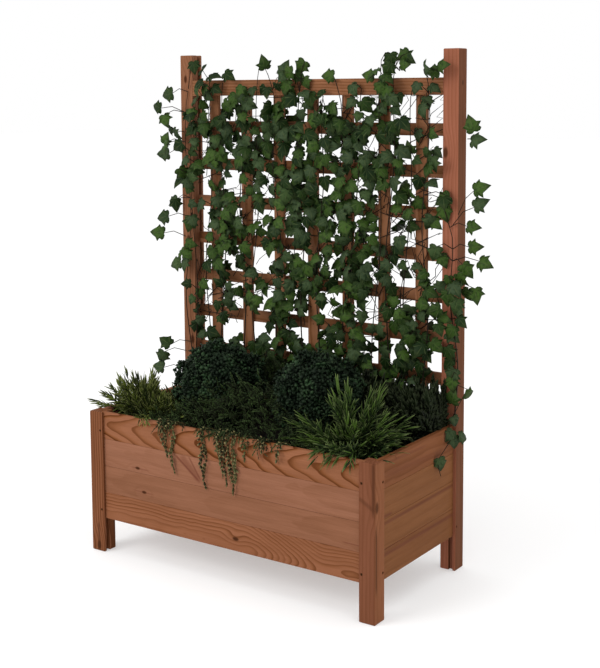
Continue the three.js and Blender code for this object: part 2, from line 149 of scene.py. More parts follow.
class Signal:
    """A number or colour that a node puts out. Sums on it add Math nodes."""

    def __init__(self, finish, socket):
        self.finish = finish
        self.socket = socket

    def math(self, operation, first, second):
        return self.finish.node("Math", {"operation": operation}, {0: first, 1: second})

    def __add__(self, other):
        return self.math("ADD", self, other)

    def __radd__(self, other):
        return self.math("ADD", other, self)

    def __sub__(self, other):
        return self.math("SUBTRACT", self, other)

    def __rsub__(self, other):
        return self.math("SUBTRACT", other, self)

    def __mul__(self, other):
        return self.math("MULTIPLY", self, other)

    def __rmul__(self, other):
        return self.math("MULTIPLY", other, self)

    def __truediv__(self, other):
        return self.math("DIVIDE", self, other)

    def __pow__(self, other):
        return self.math("POWER", self, other)


class Finish:
    """The node tree of one material."""

    def __init__(self, name):
        self.material = bpy.data.materials.new(name)
        self.material.use_nodes = True
        self.tree = self.material.node_tree
        self.tree.nodes.clear()

    def node(self, kind, settings, values, out=0):
        """Adds a node with its settings, then its sockets' values or links, and gives one output."""
        new = self.tree.nodes.new("ShaderNode" + kind)
        for key, setting in settings.items():
            setattr(new, key, setting)
        for key, value in values.items():
            socket = new.inputs[key]
            if isinstance(value, Signal):
                self.tree.links.new(value.socket, socket)
            elif socket.type == "RGBA":
                socket.default_value = (*value, 1)
            else:
                socket.default_value = value
        return Signal(self, new.outputs[out]) if new.outputs else None

    def place(self):
        return self.node("TexCoord", {}, {}, "Object")

    def split(self, vector):
        spread = self.node("SeparateXYZ", {}, {0: vector})
        return [Signal(self, output) for output in spread.socket.node.outputs]

    def join(self, x, y, z):
        return self.node("CombineXYZ", {}, {0: x, 1: y, 2: z})

    def noise(self, vector, scale, detail=2.0, roughness=0.5):
        return self.node(
            "TexNoise", {}, {"Vector": vector, "Scale": scale, "Detail": detail, "Roughness": roughness})

    def mottle(self, *details):
        """Noise over the piece's own coordinates."""
        return self.noise(self.place(), *details)

    def attribute(self, name):
        return self.node("Attribute", {"attribute_name": name}, {}, "Fac")

    def step(self, value, low, high, bottom=0.0, top=1.0):
        """A smooth step from bottom to top while value goes from low to high."""
        return self.node(
            "MapRange", {"interpolation_type": "SMOOTHSTEP"}, {0: value, 1: low, 2: high, 3: bottom, 4: top})

    def mix(self, share, under, over):
        return self.node("Mix", {"data_type": "RGBA"}, {0: share, 6: under, 7: over}, 2)

    def end(self, color, roughness, bump, depth, **constants):
        """Adds the shader. Constants go straight on its sockets."""
        relief = self.node("Bump", {}, {"Height": bump, "Distance": depth, "Strength": 1.0})
        values = {"Base Color": color, "Roughness": roughness, "Normal": relief}
        values.update({key.replace("_", " "): value for key, value in constants.items()})
        self.node("OutputMaterial", {}, {0: self.node("BsdfPrincipled", {}, values)})
        return self.material


def timber(name, box, grain, cut):
    """Softwood sawn from a log, its grain along one axis. What `cut` says:
    ring, the width of a year's growth; late, how dark its late wood is, and band, the share of that
    heart, how far the log's heart lies from the middle of the piece, across its width and through it
    taper, how fast the rings run off its face; skew, how far its arches lean across the piece
    sway, how far the heart wanders; shiver, how much each ring wavers
    rise, where along it the rings start and stop to rise off the face, and by how much
    tone, the piece's own colour; side, a factor on the colour of its left and right faces over the
    others': painted light where above one, painted shade where below, for how the light falls on them
    knots, as along, across, radius, darkness and, in thick wood, through
    streaks of red wood, as along and across at both ends, half their width, strength and, in thick
    wood, through"""
    wood = Finish(name)
    middle = (box[0] + box[1]) / 2
    at = wood.node("VectorMath", {"operation": "SUBTRACT"}, {0: wood.place(), 1: tuple(middle)})
    by_axis = dict(zip("XYZ", wood.split(at)))
    along = by_axis.pop(grain)
    size = dict(zip("XYZ", box[1] - box[0]))
    wide, thin = sorted(by_axis, key=lambda axis: -round(size[axis], 3))
    across, through = by_axis[wide], by_axis[thin]
    seed = cut["seed"]

    def pattern(rates, *details):
        """Noise that changes at one rate along the grain and at another across it."""
        crosswise = across * rates[1], through * rates[1]
        return wood.noise(wood.join(along * rates[0] + seed, *crosswise), 1.0, *details)

    aside = across - cut["heart"][0] + (pattern(WANDER) - 0.5) * (4 * cut.get("sway", 0.01))
    below = through - cut["heart"][1]
    run = along + aside * cut.get("skew", 0.0)
    waver = (pattern(SHIVER) - 0.5) * cut.get("shiver", 0.006)
    reach = (aside * aside + below * below) ** 0.5 - run * cut["taper"] + waver
    if "rise" in cut:
        first, last, amount = cut["rise"]
        reach = reach + wood.step(along, first, last, 0.0, amount)

    knot = 0.0
    for knot_along, knot_across, radius, darkness, *depth in cut.get("knots", ()):
        lengthwise = (along - knot_along) / 2
        sideways = across - knot_across
        gap = lengthwise * lengthwise + sideways * sideways
        for knot_through in depth:
            gap = (through - knot_through) ** 2.0 + gap
        gap = gap ** 0.5
        reach = reach + wood.step(gap, 5 * radius, 0.3 * radius, 0.0, 1.6 * radius)
        knot = wood.step(gap, 1.2 * radius, 0.5 * radius, 0.0, darkness) + knot

    year = wood.node("Math", {"operation": "FRACT"}, {0: reach / cut["ring"]})
    strength = wood.noise(wood.join(reach * 55, along * 0.8 + seed, seed), 1.0)
    bold = wood.step(strength, 0.25, 0.7, 0.45 * cut["late"], cut["late"])
    edge = wood.step(year, 1.0, 0.95)
    band = cut.get("band", 0.45)
    summer = wood.step(year, 1 - 1.9 * band, 1 - 0.4 * band) * edge * bold
    late = wood.step(year, 1 - band, 1 - 0.15 * band) * edge * bold
    fibre = pattern(FIBRE, 2.0, 0.6)

    tone = cut.get("tone", (1.0, 1.0, 1.0))
    pale, warm, amber, brown = (
        tuple(part * share for part, share in zip(color, tone))
        for color in (PALE_WOOD, WARM_WOOD, AMBER_WOOD, LATE_WOOD))
    color = wood.mix(wood.step(pattern(STREAK, 3.0, 0.6), 0.3, 0.8, 0.0, 0.7), pale, warm)
    color = wood.mix(wood.step(pattern(CLOUD), 0.35, 0.75, 0.0, 0.4), color, warm)
    color = wood.mix(summer * 0.75, color, amber)
    color = wood.mix(late, color, brown)
    for along_0, across_0, along_1, across_1, half, strength, *depth in cut.get("streaks", ()):
        length = math.hypot(along_1 - along_0, across_1 - across_0)
        u, v = (along_1 - along_0) / length, (across_1 - across_0) / length
        run = (along - along_0) * u + (across - across_0) * v
        off = ((across - across_0) * u - (along - along_0) * v) ** 2.0
        for streak_through in depth:
            off = (through - streak_through) ** 2.0 + off
        off = off ** 0.5
        ends = wood.step(run, 0.0, 0.2 * length) * wood.step(run, length, 0.8 * length)
        stain = DARK_STREAK if depth else RED_WOOD
        color = wood.mix(wood.step(off, half, 0.15 * half, 0.0, strength) * ends, color, stain)
    color = wood.mix(wood.step(fibre, 0.45, 0.75, 0.0, 0.16), color, brown)
    if "knots" in cut:
        color = wood.mix(knot, color, KNOT_WOOD)
    # Painted light and shade: faces that look along x take the side factor, for how the light falls on them
    if "side" in cut:
        facing = wood.split(wood.node("NewGeometry", {}, {}, "Normal"))[0]
        sideways = wood.node("Math", {"operation": "ABSOLUTE"}, {0: facing})
        other = wood.node("VectorMath", {"operation": "MULTIPLY"}, {0: color, 1: cut["side"]})
        color = wood.mix(wood.step(sideways, 0.6, 0.8), color, other)
    return wood.end(
        color, fibre * 0.15 + WOOD_ROUGHNESS, fibre * 0.6 + late * 0.4, GRAIN_DEPTH,
        Specular_IOR_Level=WOOD_GLOSS)


def paint(piece, material):
    """Gives a piece one material in place of those it has."""
    piece.data.materials.clear()
    piece.data.materials.append(material)


LEG_CUTS = {
    "leg_front_left": dict(
        ring=0.0078, heart=(0.060, 0.010), taper=0.0015, late=0.95, band=0.5, seed=1.0,
        sway=0.003, shiver=0.003,
        tone=(0.77, 0.69, 0.57), knots=[(-0.198, 0.003, 0.0085, 0.9, -0.024)],
        streaks=[
            (-0.200, 0.003, -0.120, 0.002, 0.0050, 0.8, -0.024),
            (0.155, -0.011, -0.120, -0.012, 0.0030, 0.4, -0.024)]),
    "leg_front_right": dict(
        ring=0.0100, heart=(0.066, 0.014), taper=0.0015, late=0.26, band=0.5, seed=2.2,
        sway=0.003, shiver=0.002,
        # side paints light on its left and right faces
        tone=(0.67, 0.57, 0.50), side=(1.34, 1.38, 1.20), knots=[(0.098, 0.023, 0.0090, 0.80, -0.014)],
        streaks=[
            (0.122, -0.030, 0.090, 0.026, 0.0095, 0.50, -0.024),
            (0.240, 0.019, 0.060, 0.020, 0.0080, 0.9, -0.024),
            (0.060, 0.024, -0.150, 0.024, 0.0075, 0.95, -0.017),
            (0.000, 0.010, -0.200, 0.004, 0.0030, 0.15, -0.024)]),
    "post_back_left": dict(
        ring=0.0085, heart=(0.060, 0.010), taper=0.0012, late=0.42, seed=3.0, sway=0.004, shiver=0.003,
        tone=(0.84, 0.85, 0.77),
        knots=[
            (0.674, -0.004, 0.0070, 0.95, -0.024), (0.700, 0.017, 0.0060, 0.8, -0.024),
            (0.156, -0.001, 0.0085, 0.9, -0.024), (-0.173, 0.010, 0.0085, 0.9, -0.024)]),
    "post_back_right": dict(
        ring=0.0100, heart=(0.070, 0.020), taper=0.0012, late=0.26, seed=4.0, sway=0.003, shiver=0.002,
        # side paints shade on its left and right faces
        tone=(1.12, 0.95, 0.98), side=(0.53, 0.54, 0.42),
        # Its first knot is a painted leaf shadow: a soft dark patch where a leaf's shadow falls on the front,
        # drawn as a knot
        knots=[(0.460, -0.016, 0.0090, 0.85, -0.024), (0.655, 0.024, 0.0045, 0.7, 0.000)]),
}
for node, cut in LEG_CUTS.items():
    paint(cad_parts[node], timber(node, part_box(node), "Z", cut))

# ======== Boards ========
# Thirteen-millimetre tongued boards, four to a wall, slid into the grooves one on the other. The top
# front board is flat sawn and shows bold arches; the two under it are plain.
BOARD_CUTS = {
    "board_front_4": dict(
        ring=0.0226, heart=(0.006, 0.009), taper=0.28, skew=-0.6, late=1.3, band=0.34, sway=0.007,
        shiver=0.026, seed=10.4, tone=(0.95, 0.89, 0.76)),
    "board_front_3": dict(
        ring=0.0060, heart=(0.010, 0.160), taper=0.02, late=0.12, seed=11.0, tone=(0.96, 0.98, 0.99),
        knots=[(-0.320, -0.030, 0.0050, 0.95)],
        streaks=[
            (-0.185, 0.042, -0.078, -0.036, 0.0055, 0.75), (-0.128, 0.042, -0.078, -0.030, 0.0045, 0.65),
            (-0.160, 0.042, -0.078, -0.034, 0.0160, 0.45), (-0.350, -0.030, -0.270, -0.031, 0.0035, 0.40)]),
    "board_front_2": dict(
        ring=0.0070, heart=(0.000, 0.180), taper=0.02, late=0.16, seed=12.0, tone=(0.86, 0.86, 0.82),
        knots=[(-0.296, -0.017, 0.0050, 0.95)],
        streaks=[
            (-0.340, -0.017, -0.255, -0.018, 0.0030, 0.40), (0.390, -0.025, 0.460, -0.026, 0.0025, 0.6)]),
    "board_front_1": dict(
        ring=0.0092, heart=(-0.029, 0.013), taper=0.008, late=0.64, shiver=0.016, sway=0.011, seed=13.0,
        rise=(0.060, 0.350, 0.085), tone=(0.92, 0.85, 0.72), knots=[(0.041, -0.008, 0.0062, 0.95)]),
    "board_right_4": dict(
        ring=0.0260, heart=(0.090, 0.060), taper=0.012, late=0.35, shiver=0.008, seed=14.0,
        tone=(0.77, 0.66, 0.45),
        streaks=[(-0.220, -0.004, 0.200, -0.022, 0.0160, 0.30), (-0.200, 0.026, 0.060, 0.020, 0.0060, 0.35)]),
    "board_right_3": dict(
        ring=0.0260, heart=(0.090, 0.080), taper=0.006, late=0.18, shiver=0.006, seed=15.0,
        tone=(0.78, 0.73, 0.47),
        streaks=[(-0.215, -0.035, -0.140, -0.037, 0.0060, 0.6)]),
    "board_right_2": dict(
        ring=0.0260, heart=(0.080, 0.060), taper=0.004, late=0.18, shiver=0.006, seed=16.0,
        tone=(0.77, 0.72, 0.46),
        streaks=[(-0.300, 0.026, 0.300, 0.027, 0.0075, 0.55)]),
    "board_right_1": dict(
        ring=0.0260, heart=(0.080, 0.060), taper=0.004, late=0.20, shiver=0.006, seed=17.0,
        tone=(0.75, 0.69, 0.44),
        streaks=[(-0.300, 0.024, 0.300, 0.021, 0.0090, 0.60), (-0.300, 0.036, 0.100, 0.040, 0.0050, 0.40)]),
}
for row in range(1, 5):
    for wall, (place, grain) in enumerate((("front", "X"), ("back", "X"), ("left", "Y"), ("right", "Y"))):
        node = f"board_{place}_{row}"
        plain = dict(
            ring=0.007 + 0.001 * (row % 3), heart=(0.012 * (row - 2), 0.06 + 0.02 * wall),
            taper=0.04 + 0.01 * row, late=0.5, seed=20.0 + row + 5 * wall)
        paint(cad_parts[node], timber(node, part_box(node), grain, BOARD_CUTS.get(node, plain)))

# ======== Top rail, lattice and floor ========
# Twelve-millimetre slats with rounded edges: the uprights stand in front and run up into the rail, the
# cross slats lie behind them, pinned at each crossing. The floor is bearers with slats across.
RAIL_TONE, SLAT_TONE = Vector((0.89, 0.91, 0.79)), Vector((0.97, 1.02, 0.90))
SLATS = [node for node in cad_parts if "slat" in node or "bearer" in node or node == "top_rail"]
for count, node in enumerate(sorted(SLATS)):
    low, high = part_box(node)
    size = list(high - low)
    shade = 0.92 + 0.04 * (count * 7 % 5)
    cut = dict(
        ring=0.006 + 0.001 * (count % 4), heart=(0.01, 0.05 + 0.01 * (count % 3)), taper=0.012, late=0.6,
        seed=50.0 + count, tone=tuple((RAIL_TONE if node == "top_rail" else SLAT_TONE) * shade))
    paint(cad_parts[node], timber(node, (low, high), "XYZ"[size.index(max(size))], cut))

# ======== Corner screws and lattice pins ========
# Two steel screws at each end of every wall, driven through the legs into the boards: dark brown,
# countersunk, sunk a little, with a star drive. Their dark brown is partly painted shade, for the
# hollows the heads sit in. Small pins hold the slats where they cross.
SCREW_ROWS = (0.131, 0.375)
SCREW_EDGE = 0.008
SCREW_SINK = 0.0012
SCREW_HEAD, SCREW_SHANK, SCREW_LENGTH = 0.0037, 0.0020, 0.0190
SCREW_LIP, SCREW_CONE, SCREW_TIP = 0.0006, 0.0018, 0.0030
SCREW_POINT = 0.08
DRIVE_RIM, DRIVE_WALL, DRIVE_DEPTH, STAR_WAIST = 0.0009, 0.0005, 0.0014, 0.62
STEEL_DEEP, STEEL_WORN = (0.034, 0.011, 0.002), (0.080, 0.034, 0.013)


def pick(test):
    """Selects, in edit mode, the faces whose middle and normal pass a test, and no others."""
    shell = bmesh.from_edit_mesh(bpy.context.object.data)
    for face in shell.faces:
        face.select_set(False)
    for face in shell.faces:
        face.select_set(bool(test(face.calc_center_median(), face.normal)))
    bmesh.update_edit_mesh(bpy.context.object.data)


def raise_faces(height):
    """Extrudes what is selected in edit mode straight up, or down if height is negative."""
    bpy.ops.mesh.extrude_region_move(TRANSFORM_OT_translate={"value": (0, 0, height)})


screw = made(
    "screw_model", bpy.ops.mesh.primitive_cylinder_add, vertices=12, radius=SCREW_HEAD, depth=SCREW_LIP,
    location=(0, 0, -SCREW_LIP / 2))
bpy.ops.object.mode_set(mode="EDIT")
bpy.ops.mesh.select_mode(type="FACE")
pick(lambda middle, normal: normal.z > 0.9)
bpy.ops.mesh.inset(thickness=DRIVE_RIM)
pick(lambda middle, normal: normal.z > 0.9 and middle.length < 0.0002)
bpy.ops.mesh.inset(thickness=DRIVE_WALL)
shell = bmesh.from_edit_mesh(screw.data)
for corner in list(next(face for face in shell.faces if face.select).verts)[::2]:
    corner.co.xy *= STAR_WAIST
raise_faces(-DRIVE_DEPTH)
pick(lambda middle, normal: normal.z < -0.9 and middle.z < -0.0005)
straight = SCREW_LENGTH - SCREW_LIP - SCREW_CONE - SCREW_TIP
for drop, width in ((SCREW_CONE, SCREW_SHANK / SCREW_HEAD), (straight, 1.0), (SCREW_TIP, SCREW_POINT)):
    raise_faces(-drop)
    bpy.ops.transform.resize(value=(width, width, 1), center_override=(0, 0, 0))
bpy.ops.object.mode_set(mode="OBJECT")
bpy.ops.object.shade_smooth_by_angle(angle=math.radians(35))

steel = Finish("dark_brown_steel")
tarnish = steel.mottle(900, 3.0, 0.6)
# Painted shade in part: the steel is dark brown, with no bright metal, as the sunk heads look in shade; the
# mottle is its own
color = steel.mix(steel.step(tarnish, 0.35, 0.7), STEEL_DEEP, STEEL_WORN)
steel_paint = steel.end(color, tarnish * 0.3 + 0.5, tarnish, 0.0004, Specular_IOR_Level=0.06)


def put(name, model, place, outward, roll, node=None):
    """A copy of a screw or pin with its head at a place, and its axis along outward."""
    piece = linked(name, model.data.copy())
    turn = Vector(outward).to_track_quat("Z", "Y").to_matrix().to_4x4()
    piece.data.transform(Matrix.Translation(place) @ turn @ Matrix.Rotation(roll, 4, "Z"))
    piece.data.materials.append(steel_paint)
    if node:
        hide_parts(node)
    return piece


leg_low, leg_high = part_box("leg_front_right")
post_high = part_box("post_back_right")[1]
long_x, end_y = leg_low.x + SCREW_EDGE, -leg_high.y + SCREW_EDGE
# The screws that are CAD nodes: wall, side and row, and the node's number
SHOWN = {("front", -1, 0): 1, ("front", -1, 1): 2, ("front", 1, 0): 3, ("front", 1, 1): 4,
         ("right", -1, 0): 5, ("right", -1, 1): 6}
for wall in ("front", "back", "left", "right"):
    sign = -1 if wall in ("front", "left") else 1
    for side in (-1, 1):
        for row, z in enumerate(SCREW_ROWS):
            if wall in ("front", "back"):
                outward, place = (0, sign, 0), (side * long_x, sign * (post_high.y - SCREW_SINK), z)
            else:
                outward, place = (sign, 0, 0), (sign * (post_high.x - SCREW_SINK), side * end_y, z)
            number = SHOWN.get((wall, side, row))
            piece = put(
                f"screw_{wall}_{'left' if side < 0 else 'right'}_{row + 1}", screw, place, outward,
                1.7 * row + 0.9 * side + sign, number and f"corner_screw_{number}")
            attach(piece, "root")
bpy.data.objects.remove(screw)

PIN_HEAD, PIN_DEPTH, PIN_SINK, PIN_BEVEL = 0.0016, 0.0007, 0.0002, 0.0003
PIN_STRAY = 0.002


def chosen(*pieces):
    """Selects these objects and no others, makes the first one active, and gives it back."""
    bpy.ops.object.select_all(action="DESELECT")
    for piece in pieces:
        piece.select_set(True)
    bpy.context.view_layer.objects.active = pieces[0]
    return pieces[0]


def joined(*pieces):
    """The first piece with the others joined to it."""
    first = chosen(*pieces)
    bpy.ops.object.join()
    return first


pin = made(
    "pin_model", bpy.ops.mesh.primitive_cylinder_add, vertices=10, radius=PIN_HEAD, depth=PIN_DEPTH,
    location=(0, 0, PIN_DEPTH / 2 - PIN_SINK))
bpy.ops.object.mode_set(mode="EDIT")
pick(lambda middle, normal: normal.z > 0.9)
bpy.ops.mesh.bevel(offset=PIN_BEVEL, segments=2)
bpy.ops.object.mode_set(mode="OBJECT")
pins = []
for upright in range(1, 8):
    for cross in range(1, 8):
        stave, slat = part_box(f"upright_slat_{upright}"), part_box(f"cross_slat_{cross}")
        spot = (
            (stave[0].x + stave[1].x) / 2 + PIN_STRAY * math.sin(5 * upright + cross), stave[0].y,
            (slat[0].z + slat[1].z) / 2 + PIN_STRAY * math.sin(3 * cross + upright))
        pins.append(put("lattice_pins" if not pins else "pin", pin, spot, (0, -1, 0), 0.0))
bpy.data.objects.remove(pin)
joined(*pins)
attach(pins[0], "root")

# ======== Liner ========
# Black fleece that keeps the soil in and lets water out. One rectangle with its corners cut away is
# laid in the box and turned up at the walls, so it lies in shallow wrinkles and follows the legs.
LINER_CELLS = (38, 20)
FLEECE = 0.0016
NOTCH = 0.0262
WALL_STEPS = 10
HEM_DIP = 0.0022


def modify(piece, kind, **settings):
    """Gives the active object one modifier with its settings, and applies it."""
    modifier = piece.modifiers.new(kind.lower(), kind)
    for key, setting in settings.items():
        setattr(modifier, key, setting)
    bpy.ops.object.modifier_apply(modifier=modifier.name)


low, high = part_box("liner")
liner = made(
    "fleece_liner", bpy.ops.mesh.primitive_grid_add, x_subdivisions=LINER_CELLS[0],
    y_subdivisions=LINER_CELLS[1], size=1)
half = Vector(((high.x - low.x - FLEECE) / 2, (high.y - low.y - FLEECE) / 2))
for vertex in liner.data.vertices:
    # The outermost cells on each side are as wide as the notches at the legs
    for axis, cells in enumerate(LINER_CELLS):
        line = round((vertex.co[axis] + 0.5) * cells)
        inner = half[axis] - NOTCH
        ends = {0: -half[axis], cells: half[axis]}
        vertex.co[axis] = ends.get(line, -inner + 2 * inner * (line - 1) / (cells - 2))
    vertex.co.z = low.z + FLEECE / 2
bpy.ops.object.mode_set(mode="EDIT")
bpy.ops.mesh.select_mode(type="FACE")
pick(lambda middle, normal: abs(middle.x) > half[0] - NOTCH and abs(middle.y) > half[1] - NOTCH)
bpy.ops.mesh.delete(type="FACE")
bpy.ops.mesh.select_all(action="SELECT")
bpy.ops.mesh.region_to_loop()
for _ in range(WALL_STEPS):
    raise_faces((high.z - low.z - FLEECE / 2) / WALL_STEPS)
bpy.ops.mesh.select_all(action="SELECT")
bpy.ops.mesh.normals_make_consistent(inside=True)
bpy.ops.object.mode_set(mode="OBJECT")
modify(liner, "SUBSURF", subdivision_type="SIMPLE", levels=1, render_levels=1)
for vertex in liner.data.vertices:
    x, y, z = vertex.co
    height = (z - low.z) / (high.z - low.z)
    wrinkle = noise.noise(Vector((x * 38, y * 38, z * 9)))
    inward = Vector((
        -math.copysign(1, x) * (abs(x) > half[0] - 0.001),
        -math.copysign(1, y) * (abs(y) > half[1] - 0.001), 0))
    vertex.co += inward * max(0.0, 0.0005 + 0.0010 * wrinkle) * height
    if height > 0.98:
        vertex.co.z -= HEM_DIP * (1 + noise.noise(Vector((vertex.co.x * 17, vertex.co.y * 17, 3))))
modify(liner, "SOLIDIFY", thickness=FLEECE * 0.9, offset=0)
bpy.ops.object.shade_smooth_by_angle(angle=math.radians(50))

fleece = Finish("liner_fleece")
fibre = fleece.mottle(1400, 4.0, 0.75)
press = fleece.mottle(60, 2.0)
color = fleece.mix(fleece.step(fibre, 0.35, 0.7), (0.006, 0.006, 0.0065), (0.026, 0.026, 0.027))
color = fleece.mix(fleece.step(press, 0.4, 0.7, 0.0, 0.4), color, (0.034, 0.032, 0.030))
paint(liner, fleece.end(color, fibre * 0.08 + 0.9, fibre, 0.0012, Specular_IOR_Level=0.2))
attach(liner, "root")
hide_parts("liner")

# ======== Soil ========
# Dark potting soil, filled to about an inch below the liner's edge. Its top is raked loosely, with
# crumbs of peat and bits of bark lying on it.
SOIL_VOXEL = 0.009
SOIL_ROUGH = 0.0045
CRUMBS = 2600
CRUMB_FIELD = (0.448, 0.198)
CRUMB_SIZES = (0.0016, 0.0052)
# How far a leaf may reach past the planter's own box, along x, y and z
LEAF_REACH = np.array([0.032, 0.019, 0.040])


def unit(vectors):
    """The vectors made one long."""
    return vectors / np.maximum(np.linalg.norm(vectors, axis=-1, keepdims=True), 1e-9)


def set_out(at, tip, facing, size):
    """One matrix for each leaf, from where it is attached, where it points and which way it faces."""
    tip = unit(tip)
    normal = unit(facing - (facing * tip).sum(1, keepdims=True) * tip)
    places = np.zeros((len(at), 4, 4))
    for axis, direction in enumerate((tip, np.cross(normal, tip), normal)):
        places[:, :3, axis] = direction * size
    places[:, :3, 3] = at
    places[:, 3, 3] = 1
    return places


def repeat(name, shape, places, shade, smooth=True):
    """A mesh of one modelled shape, set out at each place. Each copy keeps its shade in an attribute.
    A leaf that would reach too far past the planter's own box is left off."""
    model = shape.data
    co = np.zeros(len(model.vertices) * 3)
    model.vertices.foreach_get("co", co)
    co = co.reshape(-1, 3)
    corners = np.zeros(len(model.loops), int)
    model.loops.foreach_get("vertex_index", corners)
    starts = np.zeros(len(model.polygons), int)
    model.polygons.foreach_get("loop_start", starts)
    points = np.einsum("kij,nj->kni", places[:, :3, :3], co) + places[:, None, :3, 3]
    lowest, highest = np.array(cad_box[0]) - LEAF_REACH, np.array(cad_box[1]) + LEAF_REACH
    inside = ((points.min(1) > lowest) & (points.max(1) < highest)).all(1)
    points, shade = points[inside], np.asarray(shade)[inside]
    copies = len(points)
    mesh = bpy.data.meshes.new(name)
    mesh.vertices.add(copies * len(co))
    mesh.vertices.foreach_set("co", points.ravel())
    mesh.loops.add(copies * len(corners))
    copy = np.arange(copies)[:, None]
    mesh.loops.foreach_set("vertex_index", (corners + copy * len(co)).ravel())
    mesh.polygons.add(copies * len(starts))
    mesh.polygons.foreach_set("loop_start", (starts + copy * len(corners)).ravel())
    mesh.update()
    mesh.validate()
    mesh.attributes.new("shade", "FLOAT", "POINT").data.foreach_set("value", np.repeat(shade, len(co)))
    leaf_map = co[corners, :2] + [0, 0.5]
    mesh.uv_layers.new(name="leaf").data.foreach_set("uv", np.tile(leaf_map, (copies, 1)).ravel())
    if smooth:
        mesh.shade_smooth()
    return linked(name, mesh)


soil_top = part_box("soil")[1].z
soil = chosen(linked("potting_soil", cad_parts["soil"].data.copy()))
bpy.ops.object.mode_set(mode="EDIT")
bpy.ops.mesh.select_all(action="SELECT")
bpy.ops.mesh.remove_doubles(threshold=0.00005)
bpy.ops.object.mode_set(mode="OBJECT")
modify(soil, "REMESH", mode="VOXEL", voxel_size=SOIL_VOXEL)
middle = sum(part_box("soil"), Vector()) / 2
for vertex in soil.data.vertices:
    # A hair inside the liner, and rough on top only
    vertex.co = middle + (vertex.co - middle) * 0.998
    if vertex.co.z > soil_top - 0.003:
        waves = noise.fractal(vertex.co * 40, 1.0, 2.0, 4) + 0.6 * noise.noise(vertex.co * 12)
        vertex.co.z = soil_top - 0.004 + SOIL_ROUGH * waves
bpy.ops.object.shade_smooth()

dice = np.random.RandomState(31)
crumb = made("crumb_model", bpy.ops.mesh.primitive_ico_sphere_add, subdivisions=1, radius=0.5)
for vertex in crumb.data.vertices:
    vertex.co *= dice.uniform(0.8, 1.2)
    vertex.co.z *= 0.6
at = np.stack([
    *[dice.uniform(-end, end, CRUMBS) for end in CRUMB_FIELD], np.full(CRUMBS, soil_top - 0.003)], 1)
at[:, 2] += dice.uniform(-0.002, 0.003, CRUMBS)
flat = dice.normal(0, 1, (CRUMBS, 3)) * [1, 1, 0.3]
facing = dice.normal(0, 0.4, (CRUMBS, 3)) + [0, 0, 1]
places = set_out(at, flat, facing, dice.uniform(*CRUMB_SIZES, (CRUMBS, 1)))
soil = joined(soil, repeat("crumbs", crumb, places, dice.uniform(0, 1, CRUMBS)))
bpy.data.objects.remove(crumb)

earth = Finish("soil")
grain = earth.mottle(700, 3.0, 0.7)
damp = earth.mottle(14, 2.0)
lump = earth.attribute("shade")
color = earth.mix(earth.step(grain, 0.35, 0.75), (0.0042, 0.0030, 0.0022), (0.020, 0.0135, 0.0085))
color = earth.mix(earth.step(damp, 0.35, 0.7, 0.0, 0.6), color, (0.0055, 0.0042, 0.0032))
color = earth.mix(earth.step(lump, 0.75, 1.0, 0.0, 0.8), color, (0.050, 0.030, 0.016))
paint(soil, earth.end(color, grain * 0.1 + 0.88, grain, 0.003, Specular_IOR_Level=0.15))
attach(soil, "root")
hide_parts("soil")

# ======== Clipped balls ========
# Two balls of plastic box foliage: short sprigs of small round leaves stuck all over a dark core. The
# leaves are blackish green with a paler tip, and no two sprigs stand quite alike.
# The sprigs, the sizes of their leaves, the gap between two pairs of leaves and how each pair leans;
# then how deep a sprig is rooted, how much the ball's skin swells and sinks, and how deep the core lies
BOX_SPRIGS = 1000
BOX_LEAF_SIZES = (0.0110, 0.0175)
BOX_PAIR_GAP = 0.0060
BOX_PAIR_LEANS = (70, 54, 38)
BOX_DEPTH = 0.021
BOX_SWELL = 0.0080
BOX_RISE = 0.006
CORE_INSET = 0.054
# The angle from rib to rib of a ribbed leaf
RIB_SPACING = 0.76


def lens_leaf(corners, width, narrowing, thickness):
    """A flat pointed leaf one unit long, from a cone with a fan for a base."""
    leaf = made(
        "leaf_model", bpy.ops.mesh.primitive_cone_add, vertices=corners, radius1=0.5, depth=thickness,
        end_fill_type="TRIFAN")
    for vertex in leaf.data.vertices:
        x, y, z = vertex.co
        if abs(x) < 1e-5 and abs(y) < 1e-5 and z < 0:
            z = -1.5 * thickness
        vertex.co = (x + 0.5, y * width * (1 - narrowing * max(0.0, x) * 2), z)
    return leaf


